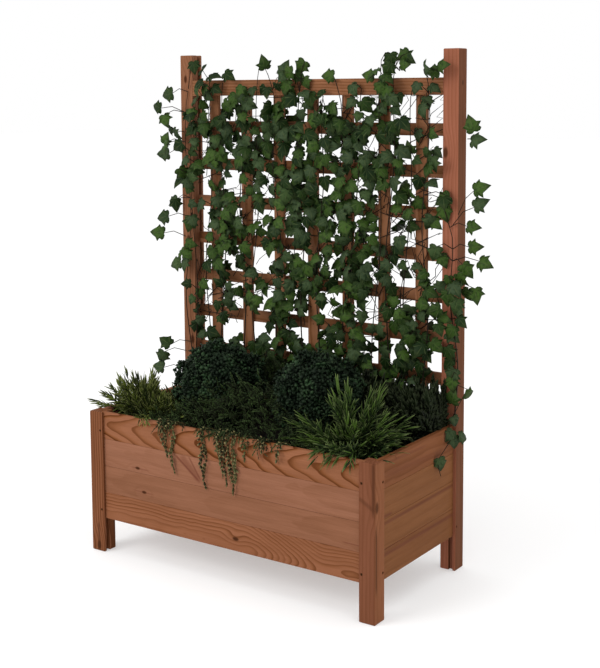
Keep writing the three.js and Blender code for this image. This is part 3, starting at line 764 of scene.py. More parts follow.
def foliage(name, deep, bright, edge, stem, roughness, gloss=0.2, rib=0.0, patch=0.0, grey_green=None):
    """Leaf plastic. Each leaf has its own shade from deep to bright and pales to edge at its tip.
    Stems have a colour of their own. Patches a hand wide, if any, are darker. A ribbed leaf has
    ribs from its foot, a dark margin, and now and then a greyer green."""
    leaf = Finish(name)
    shade = leaf.attribute("shade")
    is_stem = leaf.attribute("stem")
    along, across, _ = leaf.split(leaf.node("UVMap", {"uv_map": "leaf"}, {}))
    fleck = leaf.mottle(260, 2.0, 0.6)
    color = leaf.mix(leaf.step(shade + (fleck - 0.5) * 0.6, 0.0, 1.0), deep, bright)
    color = leaf.mix(leaf.step(along, 0.45, 1.05, 0.0, 0.6), color, edge)
    if patch:
        cloud = leaf.mottle(19, 1.0)
        color = leaf.mix(leaf.step(cloud, 0.62, 0.38, 0.0, patch), color, deep)
    height = fleck
    if rib:
        turned = leaf.node("Math", {"operation": "FRACT"}, {0: shade * 7.0})
        # Now and then a leaf, picked by its shade, takes a greyer green
        color = leaf.mix(leaf.step(turned, 0.55, 0.75, 0.0, 0.8), color, grey_green)
        out = ((along - 0.34) ** 2.0 + (across - 0.5) ** 2.0) ** 0.5
        color = leaf.mix(leaf.step(out, 0.28, 0.50, 0.0, 0.55), color, deep)
        blotch = leaf.mottle(110, 2.0)
        color = leaf.mix(leaf.step(blotch, 0.48, 0.66, 0.0, 0.55), color, deep)
        turn = leaf.node("Math", {"operation": "ARCTAN2"}, {0: across - 0.5, 1: along - 0.02})
        near = leaf.node("Math", {"operation": "PINGPONG"}, {0: turn, 1: RIB_SPACING / 2})
        ridge = leaf.step(near, 0.10, 0.0) * leaf.step(along, 1.0, 0.3)
        color = leaf.mix(ridge * rib, color, edge)
        height = fleck * 0.4 + ridge
    color = leaf.mix(is_stem, color, stem)
    return leaf.end(color, fleck * 0.25 + roughness, height, 0.0006, Specular_IOR_Level=gloss)


def all_stem(piece):
    """Marks the whole of a piece as stem, for its colour, and gives it back."""
    values = piece.data.attributes.new("stem", "FLOAT", "POINT")
    values.data.foreach_set("value", np.ones(len(piece.data.vertices)))
    return piece


def plant(piece, node, material):
    """Puts a finished plant in place of its CAD node."""
    paint(piece, material)
    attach(piece, "root")
    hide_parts(node)


box_leaf = lens_leaf(6, 0.80, 0.1, 0.12)
box_paint = foliage(
    "box_foliage", (0.0014, 0.0060, 0.0016), (0.0165, 0.0440, 0.0150), (0.052, 0.086, 0.038),
    (0.0010, 0.0018, 0.0008), 0.46, 0.15, patch=0.80)
for side, seed in (("left", 41), ("right", 42)):
    dice = np.random.RandomState(seed)
    low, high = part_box(f"ball_{side}")
    radius = (high.x - low.x) / 2
    centre = np.array([(low.x + high.x) / 2, (low.y + high.y) / 2, high.z - radius + BOX_RISE])
    # Spread evenly over the ball: equal steps down, each a golden angle on from the last
    count = np.arange(BOX_SPRIGS) + 0.5
    height = 1 - 2 * count / BOX_SPRIGS
    turn = count * math.pi * (3 - math.sqrt(5))
    flat = np.sqrt(1 - height ** 2)
    outward = np.stack([flat * np.cos(turn), flat * np.sin(turn), height], 1)
    outward = outward[outward[:, 2] * radius + centre[2] > soil_top + 0.004]
    sprigs = len(outward)
    x, y, z = outward.T
    swell = BOX_SWELL * (np.sin(9 * x + seed) + np.sin(10 * y + 2 * seed) + np.sin(11 * z + 4 * x) - 1.5)
    axis = unit(outward + dice.normal(0, 0.36, (sprigs, 3)))
    depth = BOX_DEPTH - swell + dice.uniform(0, 0.012, sprigs)
    foot = centre + outward * (radius - depth)[:, None]
    level = unit(np.cross(axis, dice.normal(0, 1, (sprigs, 3))))
    other = np.cross(axis, level)
    leaves, shades = [], []
    own = dice.beta(0.7, 0.8, sprigs)
    for pair in range(len(BOX_PAIR_LEANS)):
        radial = level if pair % 2 else other
        for way in (-1, 1):
            lean = math.radians(BOX_PAIR_LEANS[pair]) + dice.normal(0, 0.18, (sprigs, 1))
            tip = axis * np.cos(lean) + way * radial * np.sin(lean)
            facing = axis * np.sin(lean) - way * radial * np.cos(lean) + dice.normal(0, 0.25, (sprigs, 3))
            size = dice.uniform(*BOX_LEAF_SIZES, (sprigs, 1))
            leaves.append(set_out(foot + axis * BOX_PAIR_GAP * pair, tip, facing, size))
            # Painted shade: pairs nearer the core are darker, for the shade deep in the ball
            shades.append(np.clip(own + 0.16 * (pair - 1.4) + dice.normal(0, 0.18, sprigs), 0, 1))
    core = made(
        "core", bpy.ops.mesh.primitive_ico_sphere_add, subdivisions=4, radius=radius - CORE_INSET,
        location=centre)
    for vertex in core.data.vertices:
        vertex.co.z = max(vertex.co.z, soil_top - 0.01)
    ball = repeat(f"box_ball_{side}", box_leaf, np.concatenate(leaves), np.concatenate(shades))
    ball = joined(ball, all_stem(core))
    plant(ball, f"ball_{side}", box_paint)

# ======== Grass tufts ========
# Moulded plastic grass in a bunch: each stem forks into narrow blades that point on along it. The
# left tuft is short and olive; the right one is long, yellow-green, and falls over the corner.
GRASS_WIDTH, WILLOW_WIDTH = 0.16, 0.21


def blade(width):
    """A narrow blade one unit long with a ridge along it, from a sphere drawn out and flattened."""
    leaf = made("blade_model", bpy.ops.mesh.primitive_uv_sphere_add, segments=4, ring_count=6, radius=1)
    for vertex in leaf.data.vertices:
        x, y, z = vertex.co
        along = (z + 1) / 2
        half = width / 2 * (1.25 - 0.9 * along)
        vertex.co = (along, x * half, y * 0.3 * half - 0.14 * along ** 2)
    leaf.data.flip_normals()
    return leaf


def arch(foot, way, length, droop, points=12):
    """The line of a stem that leaves its foot one way and bows under its own weight."""
    t = np.linspace(0, 1, points)[:, None]
    return np.asarray(foot) + np.asarray(way) * length * t - np.array([0, 0, droop * length]) * t ** 2


def run_along(line):
    """How far along a line each of its points is."""
    return np.concatenate([[0], np.cumsum(np.linalg.norm(np.diff(line, axis=0), axis=1))])


def at_share(line, share):
    """Where a share of a line's length is reached, and the line's direction there."""
    steps, run = np.diff(line, axis=0), run_along(line)
    place = np.asarray(share) * run[-1]
    index = np.clip(np.searchsorted(run, place, "right") - 1, 0, len(steps) - 1)
    part = (place - run[index]) / np.maximum(run[index + 1] - run[index], 1e-9)
    return line[index] + part[:, None] * steps[index], unit(steps[index])


def leaved(line, dice, gap, start, spread, size, paired=False, jitter=0.3, inner=0.0, leafy=9.0):
    """Leaves set out along a stem, to one side and the other in turn, or in pairs: their places, and
    their shades, which are darker by inner at the stem's foot, as painted shade inside the bunch.
    They stand on the last leafy metres."""
    length = run_along(line)[-1]
    shares = np.arange(max(start, 1 - leafy / length), 1.0, gap / length)
    if paired:
        shares = np.repeat(shares, 2)
    at, along = at_share(line, shares)
    count = len(shares)
    plane = dice.normal(0, jitter, 3)
    across = unit(np.cross(along, [0, 0, 1]) + plane + dice.normal(0, 0.15, (count, 3)))
    way = np.where(np.arange(count) % 2, 1, -1)[:, None]
    lean = (
        np.radians(spread) * dice.uniform(0.6, 1.3, (count, 1))
        * np.minimum(1, 2.5 * (1.02 - shares[:, None])))
    tip = along * np.cos(lean) + way * across * np.sin(lean)
    facing = np.cross(across, along) + dice.normal(0, 0.3, (count, 3))
    facing = facing * np.where(facing[:, 2:] < 0, -1, 1)
    places = set_out(at, tip, facing, size * dice.uniform(0.7, 1.15, (count, 1)))
    # Painted shade: leaves low on a stem, deep in the bunch, are darker by inner
    shade = dice.uniform(0, 1) + dice.normal(0, 0.12, count) - inner * (1 - shares)
    return places, np.clip(shade, 0, 1)


# The legs and posts, and each wall from the foot of its lowest board to the top of its highest
WALLS = [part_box(leg) for leg in LEG_CUTS] + [
    (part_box(f"board_{side}_1")[0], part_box(f"board_{side}_4")[1])
    for side in ("front", "right", "back", "left")]


def grown(name, leaf, leafing):
    """One mesh of the leaves of many stems, but for those that would run through a wall or a leg."""
    places, shades = (np.concatenate(part) for part in zip(*leafing))
    clear = np.ones(len(places), bool)
    for share in (0, 0.25, 0.5, 0.75, 1):
        point = places[:, :3, 3] + share * places[:, :3, 0]
        for low, high in WALLS:
            clear &= ~((point > np.array(low)) & (point < np.array(high))).all(1)
    return repeat(name, leaf, places[clear], shades[clear])


def stalks(name, lines, thick, thin):
    """Round stems along lines, closed at both ends and tapering, as one mesh."""
    curve = bpy.data.curves.new(name, "CURVE")
    curve.dimensions = "3D"
    curve.bevel_depth = thick
    curve.bevel_resolution = 0
    curve.use_fill_caps = True
    for line in lines:
        spline = curve.splines.new("POLY")
        spline.points.add(len(line) - 1)
        spline.points.foreach_set("co", np.hstack([line, np.ones((len(line), 1))]).ravel())
        spline.points.foreach_set("radius", np.linspace(1, thin / thick, len(line)))
    chosen(linked(name, curve))
    bpy.ops.object.convert(target="MESH")
    return all_stem(bpy.context.object)


def bunch(dice, centre, spread, stems, reach, rise, droop, facing=0.0, sector=360.0):
    """The lines of a bunch of stems from one foot. reach, rise and droop are ranges of their length,
    steepness in degrees and bow; facing and sector, in degrees, say which way they lean."""
    lines = []
    for k in range(stems):
        around = math.radians(facing + sector * (((k + dice.uniform(-0.4, 0.4)) * 0.382) % 1 - 0.5))
        steep = math.radians(dice.uniform(*rise))
        way = np.array([
            math.cos(around) * math.cos(steep), math.sin(around) * math.cos(steep), math.sin(steep)])
        foot = np.array(centre) + spread * way * [1, 1, 0] * dice.uniform(0, 1.2)
        lines.append(arch(foot, way, dice.uniform(*reach), dice.uniform(*droop)))
    return lines


grass_blade, willow_blade = blade(GRASS_WIDTH), blade(WILLOW_WIDTH)

dice = np.random.RandomState(51)
low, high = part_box("grass_left")
heart = ((low.x + high.x) / 2, (low.y + high.y) / 2, soil_top)
# Each bunch as its foot, spread, stems, reach, rise, droop and, for one, facing and sector. After the
# one in the middle come more at the end of the box, over the corner, and towards the ball.
LEFT_BUNCHES = (
    (heart, 0.060, 110, (0.055, 0.125), (35, 88), (0.0, 0.35)),
    ((-0.430, -0.120, soil_top + 0.02), 0.025, 44, (0.09, 0.135), (20, 66), (0.0, 0.3), 180, 110),
    ((-0.318, -0.100, soil_top), 0.045, 70, (0.055, 0.095), (38, 88), (0.0, 0.35)),
    ((-0.425, -0.085, soil_top), 0.045, 60, (0.10, 0.150), (66, 89), (0.0, 0.2)),
    ((-0.370, 0.030, soil_top), 0.060, 80, (0.05, 0.085), (45, 88), (0.0, 0.25)))
# Three long stems over the front board, as the foot's x and where the tip is
LEFT_STRAYS = (
    (-0.302, (-0.268, -0.276, 0.418)), (-0.290, (-0.246, -0.272, 0.425)), (-0.316, (-0.290, -0.270, 0.423)))
stems = [line for row in LEFT_BUNCHES for line in bunch(dice, *row)]
for x, tip in LEFT_STRAYS:
    stems.append(np.array([(x, -0.185, 0.400), (x + 0.006, -0.225, 0.436), (x + 0.018, -0.252, 0.436), tip]))
olive_paint = foliage(
    "olive_blades", (0.012, 0.021, 0.003), (0.092, 0.120, 0.017), (0.290, 0.300, 0.110),
    (0.012, 0.014, 0.005), 0.5, 0.12)
blades = [leaved(line, dice, 0.0084, 0.10, 42, 0.030, jitter=1.0, inner=0.45, leafy=0.090) for line in stems]
tuft = joined(grown("grass_tuft_left", willow_blade, blades), stalks("stalks", stems, 0.0011, 0.0006))
plant(tuft, "grass_left", olive_paint)

dice = np.random.RandomState(52)
low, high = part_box("grass_right")
heart = ((low.x + high.x) / 2, (low.y + high.y) / 2, soil_top)
stems = bunch(dice, heart, 0.060, 60, (0.07, 0.150), (30, 86), (0.05, 0.35))
# Longer fans, as stems, reach, rise, facing and sector: two upright, one low on the left, two on the
# right, one to the back and one to the front
FANS = (
    (12, (0.200, 0.235), (74, 86), 170, 60), (9, (0.180, 0.230), (69, 80), 20, 34),
    (20, (0.140, 0.200), (34, 52), 190, 34), (12, (0.170, 0.215), (46, 58), 5, 34),
    (12, (0.100, 0.150), (22, 40), -10, 40), (10, (0.150, 0.190), (55, 75), 90, 90),
    (14, (0.110, 0.160), (58, 80), -70, 110))
for count, reach, rise, facing, sector in FANS:
    stems += bunch(dice, heart, 0.040, count, reach, rise, (0.05, 0.40), facing, sector)
# The spill over the corner, as where each stem leaves the soil and which way it goes
SPILL = (
    (0.380, -0.200, -0.42, -0.34), (0.390, -0.205, -0.30, -0.36), (0.400, -0.200, -0.20, -0.38),
    (0.405, -0.205, -0.10, -0.36), (0.415, -0.200, 0.00, -0.40), (0.420, -0.205, 0.08, -0.36),
    (0.385, -0.210, -0.30, -0.34), (0.370, -0.205, -0.44, -0.30), (0.400, -0.205, -0.24, -0.34),
    (0.395, -0.190, -0.34, -0.26), (0.410, -0.190, -0.04, -0.28))
for x, y, across, out in SPILL:
    for lift in (0.62, 0.80):
        way = unit(np.array([across + dice.normal(0, 0.05), out, lift]))
        stems.append(arch((x, y, soil_top + 0.03), way, dice.uniform(0.09, 0.13), dice.uniform(0.55, 0.85)))
grass_paint = foliage(
    "grass_blades", (0.005, 0.013, 0.0018), (0.056, 0.104, 0.014), (0.180, 0.230, 0.080),
    (0.008, 0.014, 0.004), 0.5, 0.12)
blades = [leaved(line, dice, 0.0105, 0.10, 46, 0.042, jitter=1.0, inner=0.7, leafy=0.110) for line in stems]
tuft = joined(grown("grass_tuft_right", grass_blade, blades), stalks("stalks", stems, 0.0011, 0.0006))
plant(tuft, "grass_right", grass_paint)

# ======== Dark fern ========
# A low dark plastic fern in the back right corner: arching fronds with pairs of narrow leaflets, which
# crowd between the back boards, the right end and the right-hand ball.
fern_leaflet = lens_leaf(4, 0.29, 0.0, 0.08)
dice = np.random.RandomState(53)
low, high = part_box("fern_right")
fern_x, fern_y = (low.x + high.x) / 2, (low.y + high.y) / 2 + 0.02
# Each bunch of fronds as its foot's x and y, its spread, stems, reach, rise and droop
FRONDS = (
    (fern_x, fern_y, 0.095, 120, (0.11, 0.195), (18, 84), (0.1, 0.5)),
    (fern_x + 0.04, fern_y + 0.03, 0.06, 60, (0.15, 0.21), (50, 86), (0.1, 0.35)),
    (fern_x - 0.09, fern_y + 0.01, 0.05, 60, (0.12, 0.190), (55, 88), (0.1, 0.35)),
    (0.440, 0.130, 0.03, 80, (0.10, 0.170), (60, 89), (0.0, 0.25)),
    (0.290, 0.140, 0.05, 70, (0.12, 0.190), (62, 88), (0.0, 0.25)),
    (0.225, 0.150, 0.03, 40, (0.13, 0.190), (72, 89), (0.0, 0.15)),
    (0.455, 0.165, 0.02, 40, (0.11, 0.160), (74, 89), (0.0, 0.15)),
    (fern_x - 0.02, fern_y - 0.06, 0.06, 50, (0.10, 0.170), (12, 45), (0.1, 0.5)))
FERN_REACH = (0.465, 0.196, 1.0)
stems = [line for x, y, *fronds in FRONDS for line in bunch(dice, (x, y, soil_top), *fronds)]
for line in stems:
    np.clip(line, None, FERN_REACH, out=line)
fern_paint = foliage(
    "fern_leaves", (0.0018, 0.0036, 0.0010), (0.0088, 0.0158, 0.0044), (0.044, 0.054, 0.024),
    (0.006, 0.005, 0.003), 0.42, 0.10)
leaflets = [
    leaved(line, dice, 0.0066, 0.12, 55, 0.0255, paired=True, jitter=0.7, inner=0.5) for line in stems]
fern = joined(grown("dark_fern", fern_leaflet, leaflets), stalks("stalks", stems, 0.0010, 0.0005))
plant(fern, "fern_right", fern_paint)

# ======== Trailing plant ========
# A fine-leaved creeper that fills the front of the box: hundreds of short sprigs of needle leaves, and
# a few long strands of small paired leaves that hang down over the front board.
BANK_SPRIGS, BACK_SPRIGS, RIM_SPRIGS = 760, 240, 5
SPRIG_REACH, SPRIG_DROOP, SPRIG_POINTS = (0.030, 0.068), (0, 0.5), 7
# Where the sprigs' feet are: the ends of the bank in front, and the ends and depths of the few at the
# back; then how far over the soil the lowest are, and how much higher the highest of each lot
BANK_X, BACK_X, BACK_Y = (-0.330, 0.285), (-0.20, -0.02), (0.120, 0.190)
SPRIG_FOOT, BANK_CROWN, BACK_CROWN = 0.006, 0.150, 0.155
needle = lens_leaf(4, 0.27, 0.0, 0.08)
strand_leaf = lens_leaf(6, 0.50, 0.1, 0.07)
dice = np.random.RandomState(61)


def sprig(foot, sideways, outward, upward):
    """A short sprig. Its way along x, y and z is drawn with these means and spreads."""
    way = unit(np.array([dice.normal(*sideways), dice.normal(*outward), abs(dice.normal(*upward))]))
    return arch(foot, way, dice.uniform(*SPRIG_REACH), dice.uniform(*SPRIG_DROOP), SPRIG_POINTS)


sprigs = []
for _ in range(BANK_SPRIGS):
    x = dice.uniform(*BANK_X)
    crown = max(0.12, 1 - ((x - 0.01) / 0.30) ** 2)
    y = -0.205 + 0.150 * dice.uniform(0, 1) ** 0.8
    lift = min(1.0, (y + 0.215) / 0.10)
    z = soil_top + SPRIG_FOOT + dice.uniform(0.1, 1.0) ** 0.6 * BANK_CROWN * crown * lift
    sprigs.append(sprig((x, y, z), (0, 0.45), (-0.30, 0.4), (0.7, 0.35)))
# A few more stand at the back, between the balls
for _ in range(BACK_SPRIGS):
    x, y = dice.uniform(*BACK_X), dice.uniform(*BACK_Y)
    z = soil_top + SPRIG_FOOT + dice.uniform(0, 1) * BACK_CROWN
    sprigs.append(sprig((x, y, z), (0, 0.4), (-0.2, 0.4), (0.8, 0.3)))

# Each strand as where it crosses the rim, where it ends, and how low that is
STRANDS = (
    (-0.226, -0.222, 0.392), (-0.214, -0.208, 0.368), (-0.206, -0.200, 0.345), (-0.190, -0.176, 0.296),
    (-0.172, -0.182, 0.318), (-0.072, -0.068, 0.322), (-0.062, -0.060, 0.268), (-0.018, -0.010, 0.348),
    (-0.010, 0.002, 0.312), (-0.004, 0.018, 0.296), (0.008, 0.006, 0.372), (0.014, 0.030, 0.330),
    (0.020, 0.042, 0.270), (0.034, 0.050, 0.300), (0.048, 0.046, 0.340), (0.078, 0.080, 0.372),
    (0.132, 0.126, 0.392), (0.142, 0.150, 0.400), (0.196, 0.190, 0.386))
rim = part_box("board_front_4")[1].z
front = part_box("board_front_4")[0].y
strands = []
for start, end, bottom in STRANDS:
    drop = np.linspace(rim - 0.006, bottom, 16)
    share = (rim - drop) / (rim - bottom)
    sway = 0.004 * np.sin(share * 9 + 40 * start)
    away = front - dice.uniform(0.005, 0.010)
    hang = np.stack([
        start + (end - start) * share + sway, away - 0.003 * np.sin(share * 7 + 60 * end), drop], 1)
    over = np.array([
        [start, front + 0.060, rim - 0.014], [start, front + 0.030, rim + 0.002],
        [start, front + 0.010, rim + 0.006], [start, front - 0.003, rim + 0.003]])
    strands.append(np.vstack([over, hang]))
    # Short sprigs that lean out over the rim where the strand crosses it
    for _ in range(RIM_SPRIGS):
        foot = (start + dice.normal(0, 0.008), front + dice.uniform(0.000, 0.030), rim + 0.001)
        way = unit(np.array([dice.normal(0, 0.5), -0.5, dice.uniform(0.2, 0.9)]))
        sprigs.append(arch(foot, way, dice.uniform(0.025, 0.045), dice.uniform(0.6, 1.3), SPRIG_POINTS))
needles = [leaved(line, dice, 0.0046, 0.1, 44, 0.0105, paired=True, jitter=1.0, inner=0.5) for line in sprigs]
bank = grown("trailing_bank", needle, needles)
# A strand's leaves start five centimetres from its foot
pairs = [
    leaved(line, dice, 0.0112, 0.050 / run_along(line)[-1], 48, 0.0155, paired=True, jitter=0.6)
    for line in strands]
hanging = grown("trailing_strands", strand_leaf, pairs)
trailing_paint = foliage(
    "trailing_leaves", (0.0042, 0.0092, 0.0020), (0.034, 0.063, 0.015), (0.100, 0.138, 0.052),
    (0.010, 0.009, 0.004), 0.5, 0.12)
strand_paint = foliage(
    "strand_leaves", (0.009, 0.009, 0.003), (0.060, 0.066, 0.022), (0.520, 0.420, 0.190),
    (0.110, 0.075, 0.030), 0.45, 0.12)
bank = joined(bank, stalks("stalks", [line[::2] for line in sprigs], 0.0009, 0.0005))
plant(bank, "trailing_plant", trailing_paint)
hanging = joined(hanging, stalks("stalks", strands, 0.0010, 0.0006))
plant(hanging, "trailing_plant", strand_paint)

# ======== Ivy ========
# Three plastic ivies trained up the lattice. Thin brown runners climb it, and five-pointed leaves on
# stalks grow from them in bushes, thick over the left and middle and thinner at the right.

# Half of a leaf's outline, one unit long from its stalk, and where its five veins meet
IVY_HALF = (
    (-0.10, 0.15, 0.02), (-0.07, 0.33, -0.01), (0.06, 0.45, -0.06), (0.21, 0.37, 0.05), (0.39, 0.56, -0.11),
    (0.49, 0.33, 0.04), (0.74, 0.19, -0.02))
VEINS_MEET = 0.06
ivy_outline = [(-0.02, 0, 0), *IVY_HALF, (1.0, 0, -0.17), *[(x, -y, z) for x, y, z in reversed(IVY_HALF)]]
ivy_outline.sort(key=lambda point: math.atan2(point[1], point[0] - VEINS_MEET))
ivy_leaf = made(
    "ivy_leaf_model", bpy.ops.mesh.primitive_circle_add, vertices=len(ivy_outline), radius=1,
    fill_type="TRIFAN")
edge = [vertex for vertex in ivy_leaf.data.vertices if vertex.co.length > 0.5]
edge.sort(key=lambda vertex: math.atan2(vertex.co.y, vertex.co.x))
for vertex in ivy_leaf.data.vertices:
    vertex.co = (VEINS_MEET, 0, 0)
for vertex, point in zip(edge, ivy_outline):
    vertex.co = point
modify(ivy_leaf, "SOLIDIFY", thickness=0.018, offset=0)

FRONT_OF_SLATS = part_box("upright_slat_1")[0].y
FRONT_OF_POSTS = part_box("post_back_left")[0].y
BEHIND_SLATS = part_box("cross_slat_1")[1].y
# Beyond this to each side the ivy lies on the posts, which stand proud of the slats
LATTICE_HALF = 0.43
BUSH_LEAVES, LONE_LEAVES, SHOOT_LEAVES = (0.034, 0.051), (0.042, 0.052), (0.036, 0.044)
LEAF_MIDDLE = 0.4
LONG_STALK = 0.09
# The share of leaves that hang behind the slats, and how wide a bush is: its least, and more per leaf
BEHIND_SHARE = 0.14
BUSH_LEAST, BUSH_MORE = 0.018, 0.0042
# Each runner as its x and z at the bottom and at the top
RUNNERS = {
    "left": (
        (-0.460, 0.480, -0.466, 1.385), (-0.445, 0.460, -0.455, 1.330), (-0.385, 0.460, -0.375, 1.360),
        (-0.340, 0.480, -0.325, 1.370), (-0.250, 0.500, -0.246, 1.400), (-0.200, 0.500, -0.180, 1.460)),
    "middle": (
        (-0.120, 0.500, -0.130, 1.390), (-0.075, 0.500, -0.085, 1.340), (-0.020, 0.500, -0.030, 1.380),
        (0.045, 0.480, 0.060, 1.370), (0.110, 0.500, 0.115, 1.380), (0.160, 0.500, 0.190, 1.390)),
    "right": (
        (0.230, 0.500, 0.260, 1.470), (0.285, 0.480, 0.305, 1.450), (0.345, 0.460, 0.365, 1.400),
        (0.390, 0.440, 0.405, 1.430), (0.498, 0.445, 0.478, 1.000)),
}
# Each bush as the x and z of its middle, in centimetres, and how many leaves it has
BUSHES = {
    "left": (
        (-45, 119, 2), (-43, 115, 3), (-54, 122, 1), (-51, 125, 2), (-44, 110, 3), (-37, 142, 3),
        (-31, 143, 1), (-36, 139, 2), (-20, 138, 3), (-25, 135, 4), (-24, 133, 4), (-40, 137, 2),
        (-40, 133, 3), (-32, 134, 1), (-45, 130, 3), (-41, 129, 3), (-32, 130, 6), (-25, 129, 1),
        (-41, 125, 5), (-34, 126, 6), (-21, 126, 4), (-37, 122, 5), (-30, 122, 1), (-25, 122, 4),
        (-33, 118, 5), (-24, 118, 4), (-20, 119, 6), (-46, 112, 2), (-32, 112, 4), (-24, 115, 4),
        (-46, 109, 2), (-21, 110, 4), (-35, 106, 3), (-19, 106, 5), (-52, 103, 1), (-37, 102, 4),
        (-28, 102, 4), (-45, 102, 1), (-33, 98, 4), (-27, 97, 3), (-45, 98, 1), (-33, 94, 4),
        (-28, 93, 4), (-20, 94, 4), (-35, 90, 3), (-29, 89, 2), (-25, 90, 3), (-47, 86, 4), (-35, 86, 5),
        (-27, 86, 3), (-38, 82, 2), (-34, 82, 5), (-20, 81, 4), (-42, 77, 1), (-22, 77, 1), (-28, 76, 1),
        (-43, 74, 3), (-32, 74, 4), (-18, 74, 4), (-31, 70, 3), (-20, 70, 2), (-36, 66, 1), (-43, 65, 3),
        (-33, 58, 3), (-39, 58, 4), (-19, 58, 4), (-19, 54, 4), (-28, 57, 3), (-24, 57, 5)),
    "middle": (
        (-8, 142, 1), (-2, 141, 2), (0, 137, 1), (-13, 138, 2), (-8, 138, 4), (-2, 134, 4),
        (-13, 133, 2), (-11, 131, 4), (6, 133, 4), (-14, 130, 4), (7, 130, 5), (12, 129, 3),
        (19, 134, 2), (-12, 126, 6), (-6, 126, 4), (0, 125, 3), (7, 126, 4), (16, 127, 3), (20, 126, 3),
        (-16, 122, 4), (-9, 122, 4), (-3, 122, 5), (7, 121, 5), (12, 123, 4), (17, 122, 3),
        (-19, 120, 3), (-4, 118, 3), (5, 118, 2), (18, 117, 4), (11, 117, 2), (-12, 114, 2),
        (-2, 114, 4), (5, 114, 4), (11, 114, 4), (20, 114, 3), (-11, 112, 6), (-6, 110, 4), (0, 110, 4),
        (14, 110, 4), (20, 113, 1), (-12, 107, 3), (-6, 106, 4), (0, 106, 5), (6, 106, 3), (12, 107, 3),
        (18, 106, 4), (-6, 101, 3), (0, 102, 5), (6, 102, 5), (12, 102, 6), (18, 102, 4), (-12, 98, 3),
        (-2, 98, 4), (7, 98, 2), (12, 98, 6), (18, 98, 4), (-15, 94, 6), (-1, 95, 5), (3, 95, 2),
        (11, 94, 5), (19, 90, 5), (22, 95, 5), (-8, 90, 6), (2, 88, 2), (13, 90, 5), (0, 85, 4),
        (7, 85, 4), (14, 85, 5), (19, 85, 4), (-12, 82, 4), (-6, 82, 4), (0, 82, 4), (5, 82, 5),
        (14, 81, 4), (20, 82, 4), (-17, 78, 2), (-3, 78, 4), (6, 78, 5), (17, 78, 5), (20, 79, 2),
        (-8, 74, 5), (-5, 74, 3), (8, 74, 3), (16, 74, 6), (28, 74, 2), (-11, 70, 4), (-4, 70, 2),
        (14, 69, 2), (-15, 68, 3), (8, 67, 2), (14, 66, 2), (-8, 66, 3), (-8, 62, 3), (7, 62, 4),
        (10, 63, 4), (17, 61, 6), (-12, 58, 5), (-6, 58, 4), (2, 58, 4), (9, 58, 4), (14, 59, 3),
        (-14, 54, 4), (-8, 54, 4), (-2, 54, 4), (4, 54, 4), (9, 54, 3), (-17, 50, 5), (-13, 49, 5),
        (-14, 47, 6), (-17, 52, 4), (-14, 44, 6), (-16, 46, 5)),
    "right": (
        (32, 144, 2), (40, 143, 1), (44, 143, 1), (27, 142, 3), (29, 138, 3), (31, 136, 2), (41, 138, 3),
        (24, 134, 5), (30, 133, 2), (28, 127, 4), (22, 130, 2), (32, 129, 1), (40, 125, 1), (36, 126, 1),
        (25, 125, 2), (41, 121, 1), (30, 122, 2), (43, 119, 3), (31, 118, 4), (37, 118, 2), (25, 115, 5),
        (30, 113, 1), (24, 118, 2), (40, 111, 2), (30, 110, 3), (46, 108, 1), (35, 106, 4), (21, 106, 1),
        (41, 101, 1), (33, 102, 3), (33, 98, 3), (28, 90, 4), (40, 86, 3), (27, 83, 4), (34, 86, 2),
        (50, 84, 4), (52, 82, 3), (44, 81, 1), (40, 81, 3), (51, 74, 3), (38, 74, 5), (45, 74, 5),
        (31, 73, 3), (34, 70, 4), (37, 70, 3), (25, 66, 6), (20, 62, 4), (33, 66, 4), (38, 67, 3),
        (42, 66, 1), (33, 62, 4), (40, 62, 5), (33, 58, 4), (37, 57, 1), (30, 58, 2), (20, 57, 2),
        (19, 54, 4), (35, 54, 5), (31, 53, 4), (26, 53, 4), (21, 52, 5), (30, 49, 5), (35, 49, 4),
        (22, 49, 5), (26, 48, 5)),
}
# Leaves alone on long stalks: x and z of the leaf's middle, in millimetres, and how its tip points, in
# degrees anticlockwise from straight down, seen from the front
LONERS = {
    "left": (
        (-545, 1376, -80), (-582, 1335, -100), (-552, 1293, 30), (-556, 1232, 150), (-562, 1183, -85),
        (-528, 1027, -50), (-572, 975, -80), (-592, 924, -95), (-571, 560, -120), (-585, 508, -30),
        (-600, 472, -95), (-429, 1462, 15), (-452, 961, -10), (-523, 824, -70)),
    "middle": (
        (-157, 1470, 175), (-80, 1452, 160), (-18, 1457, -40), (-27, 1428, 60), (79, 1428, -90),
        (169, 1387, 30)),
    "right": (
        (545, 1290, 200), (563, 1247, 100), (580, 1116, 110), (578, 1072, 120), (552, 1006, 90),
        (562, 951, 95), (590, 906, 75), (538, 884, 40), (462, 1078, -60), (465, 1040, 20),
        (417, 1012, -30), (439, 927, -20), (461, 905, 30), (289, 1470, 5), (334, 1482, -60),
        (347, 1475, 60), (221, 1428, -100), (430, 1436, -90), (398, 1328, 20), (486, 642, 30),
        (494, 580, -20), (497, 556, 10), (498, 520, 170), (568, 817, 20), (492, 690, 60), (478, 610, -40)),
}
# The shoot that hangs over the end of the box: x, y and z of each leaf in millimetres, and its tip's turn
SHOOT = (
    (545, 190, 533, 90), (502, 186, 448, 20), (503, 156, 414, -40), (527, 190, 404, 70), (510, 170, 392, 10),
    (503, 100, 345, 15))
# Where its stem starts, and its bare end, in metres
SHOOT_FOOT, SHOOT_END = (0.478, 0.190, 0.560), [(0.501, 0.092, 0.336), (0.505, 0.100, 0.310)]
# Bare thin shoots on the lattice, how many to a plant
TENDRILS = {"left": 64, "middle": 64, "right": 84}
ivy_paint = foliage(
    "ivy_leaves", (0.0050, 0.0165, 0.0024), (0.038, 0.078, 0.0110), (0.078, 0.100, 0.036),
    (0.012, 0.008, 0.004), 0.44, 0.10, rib=0.60, grey_green=(0.036, 0.058, 0.026))


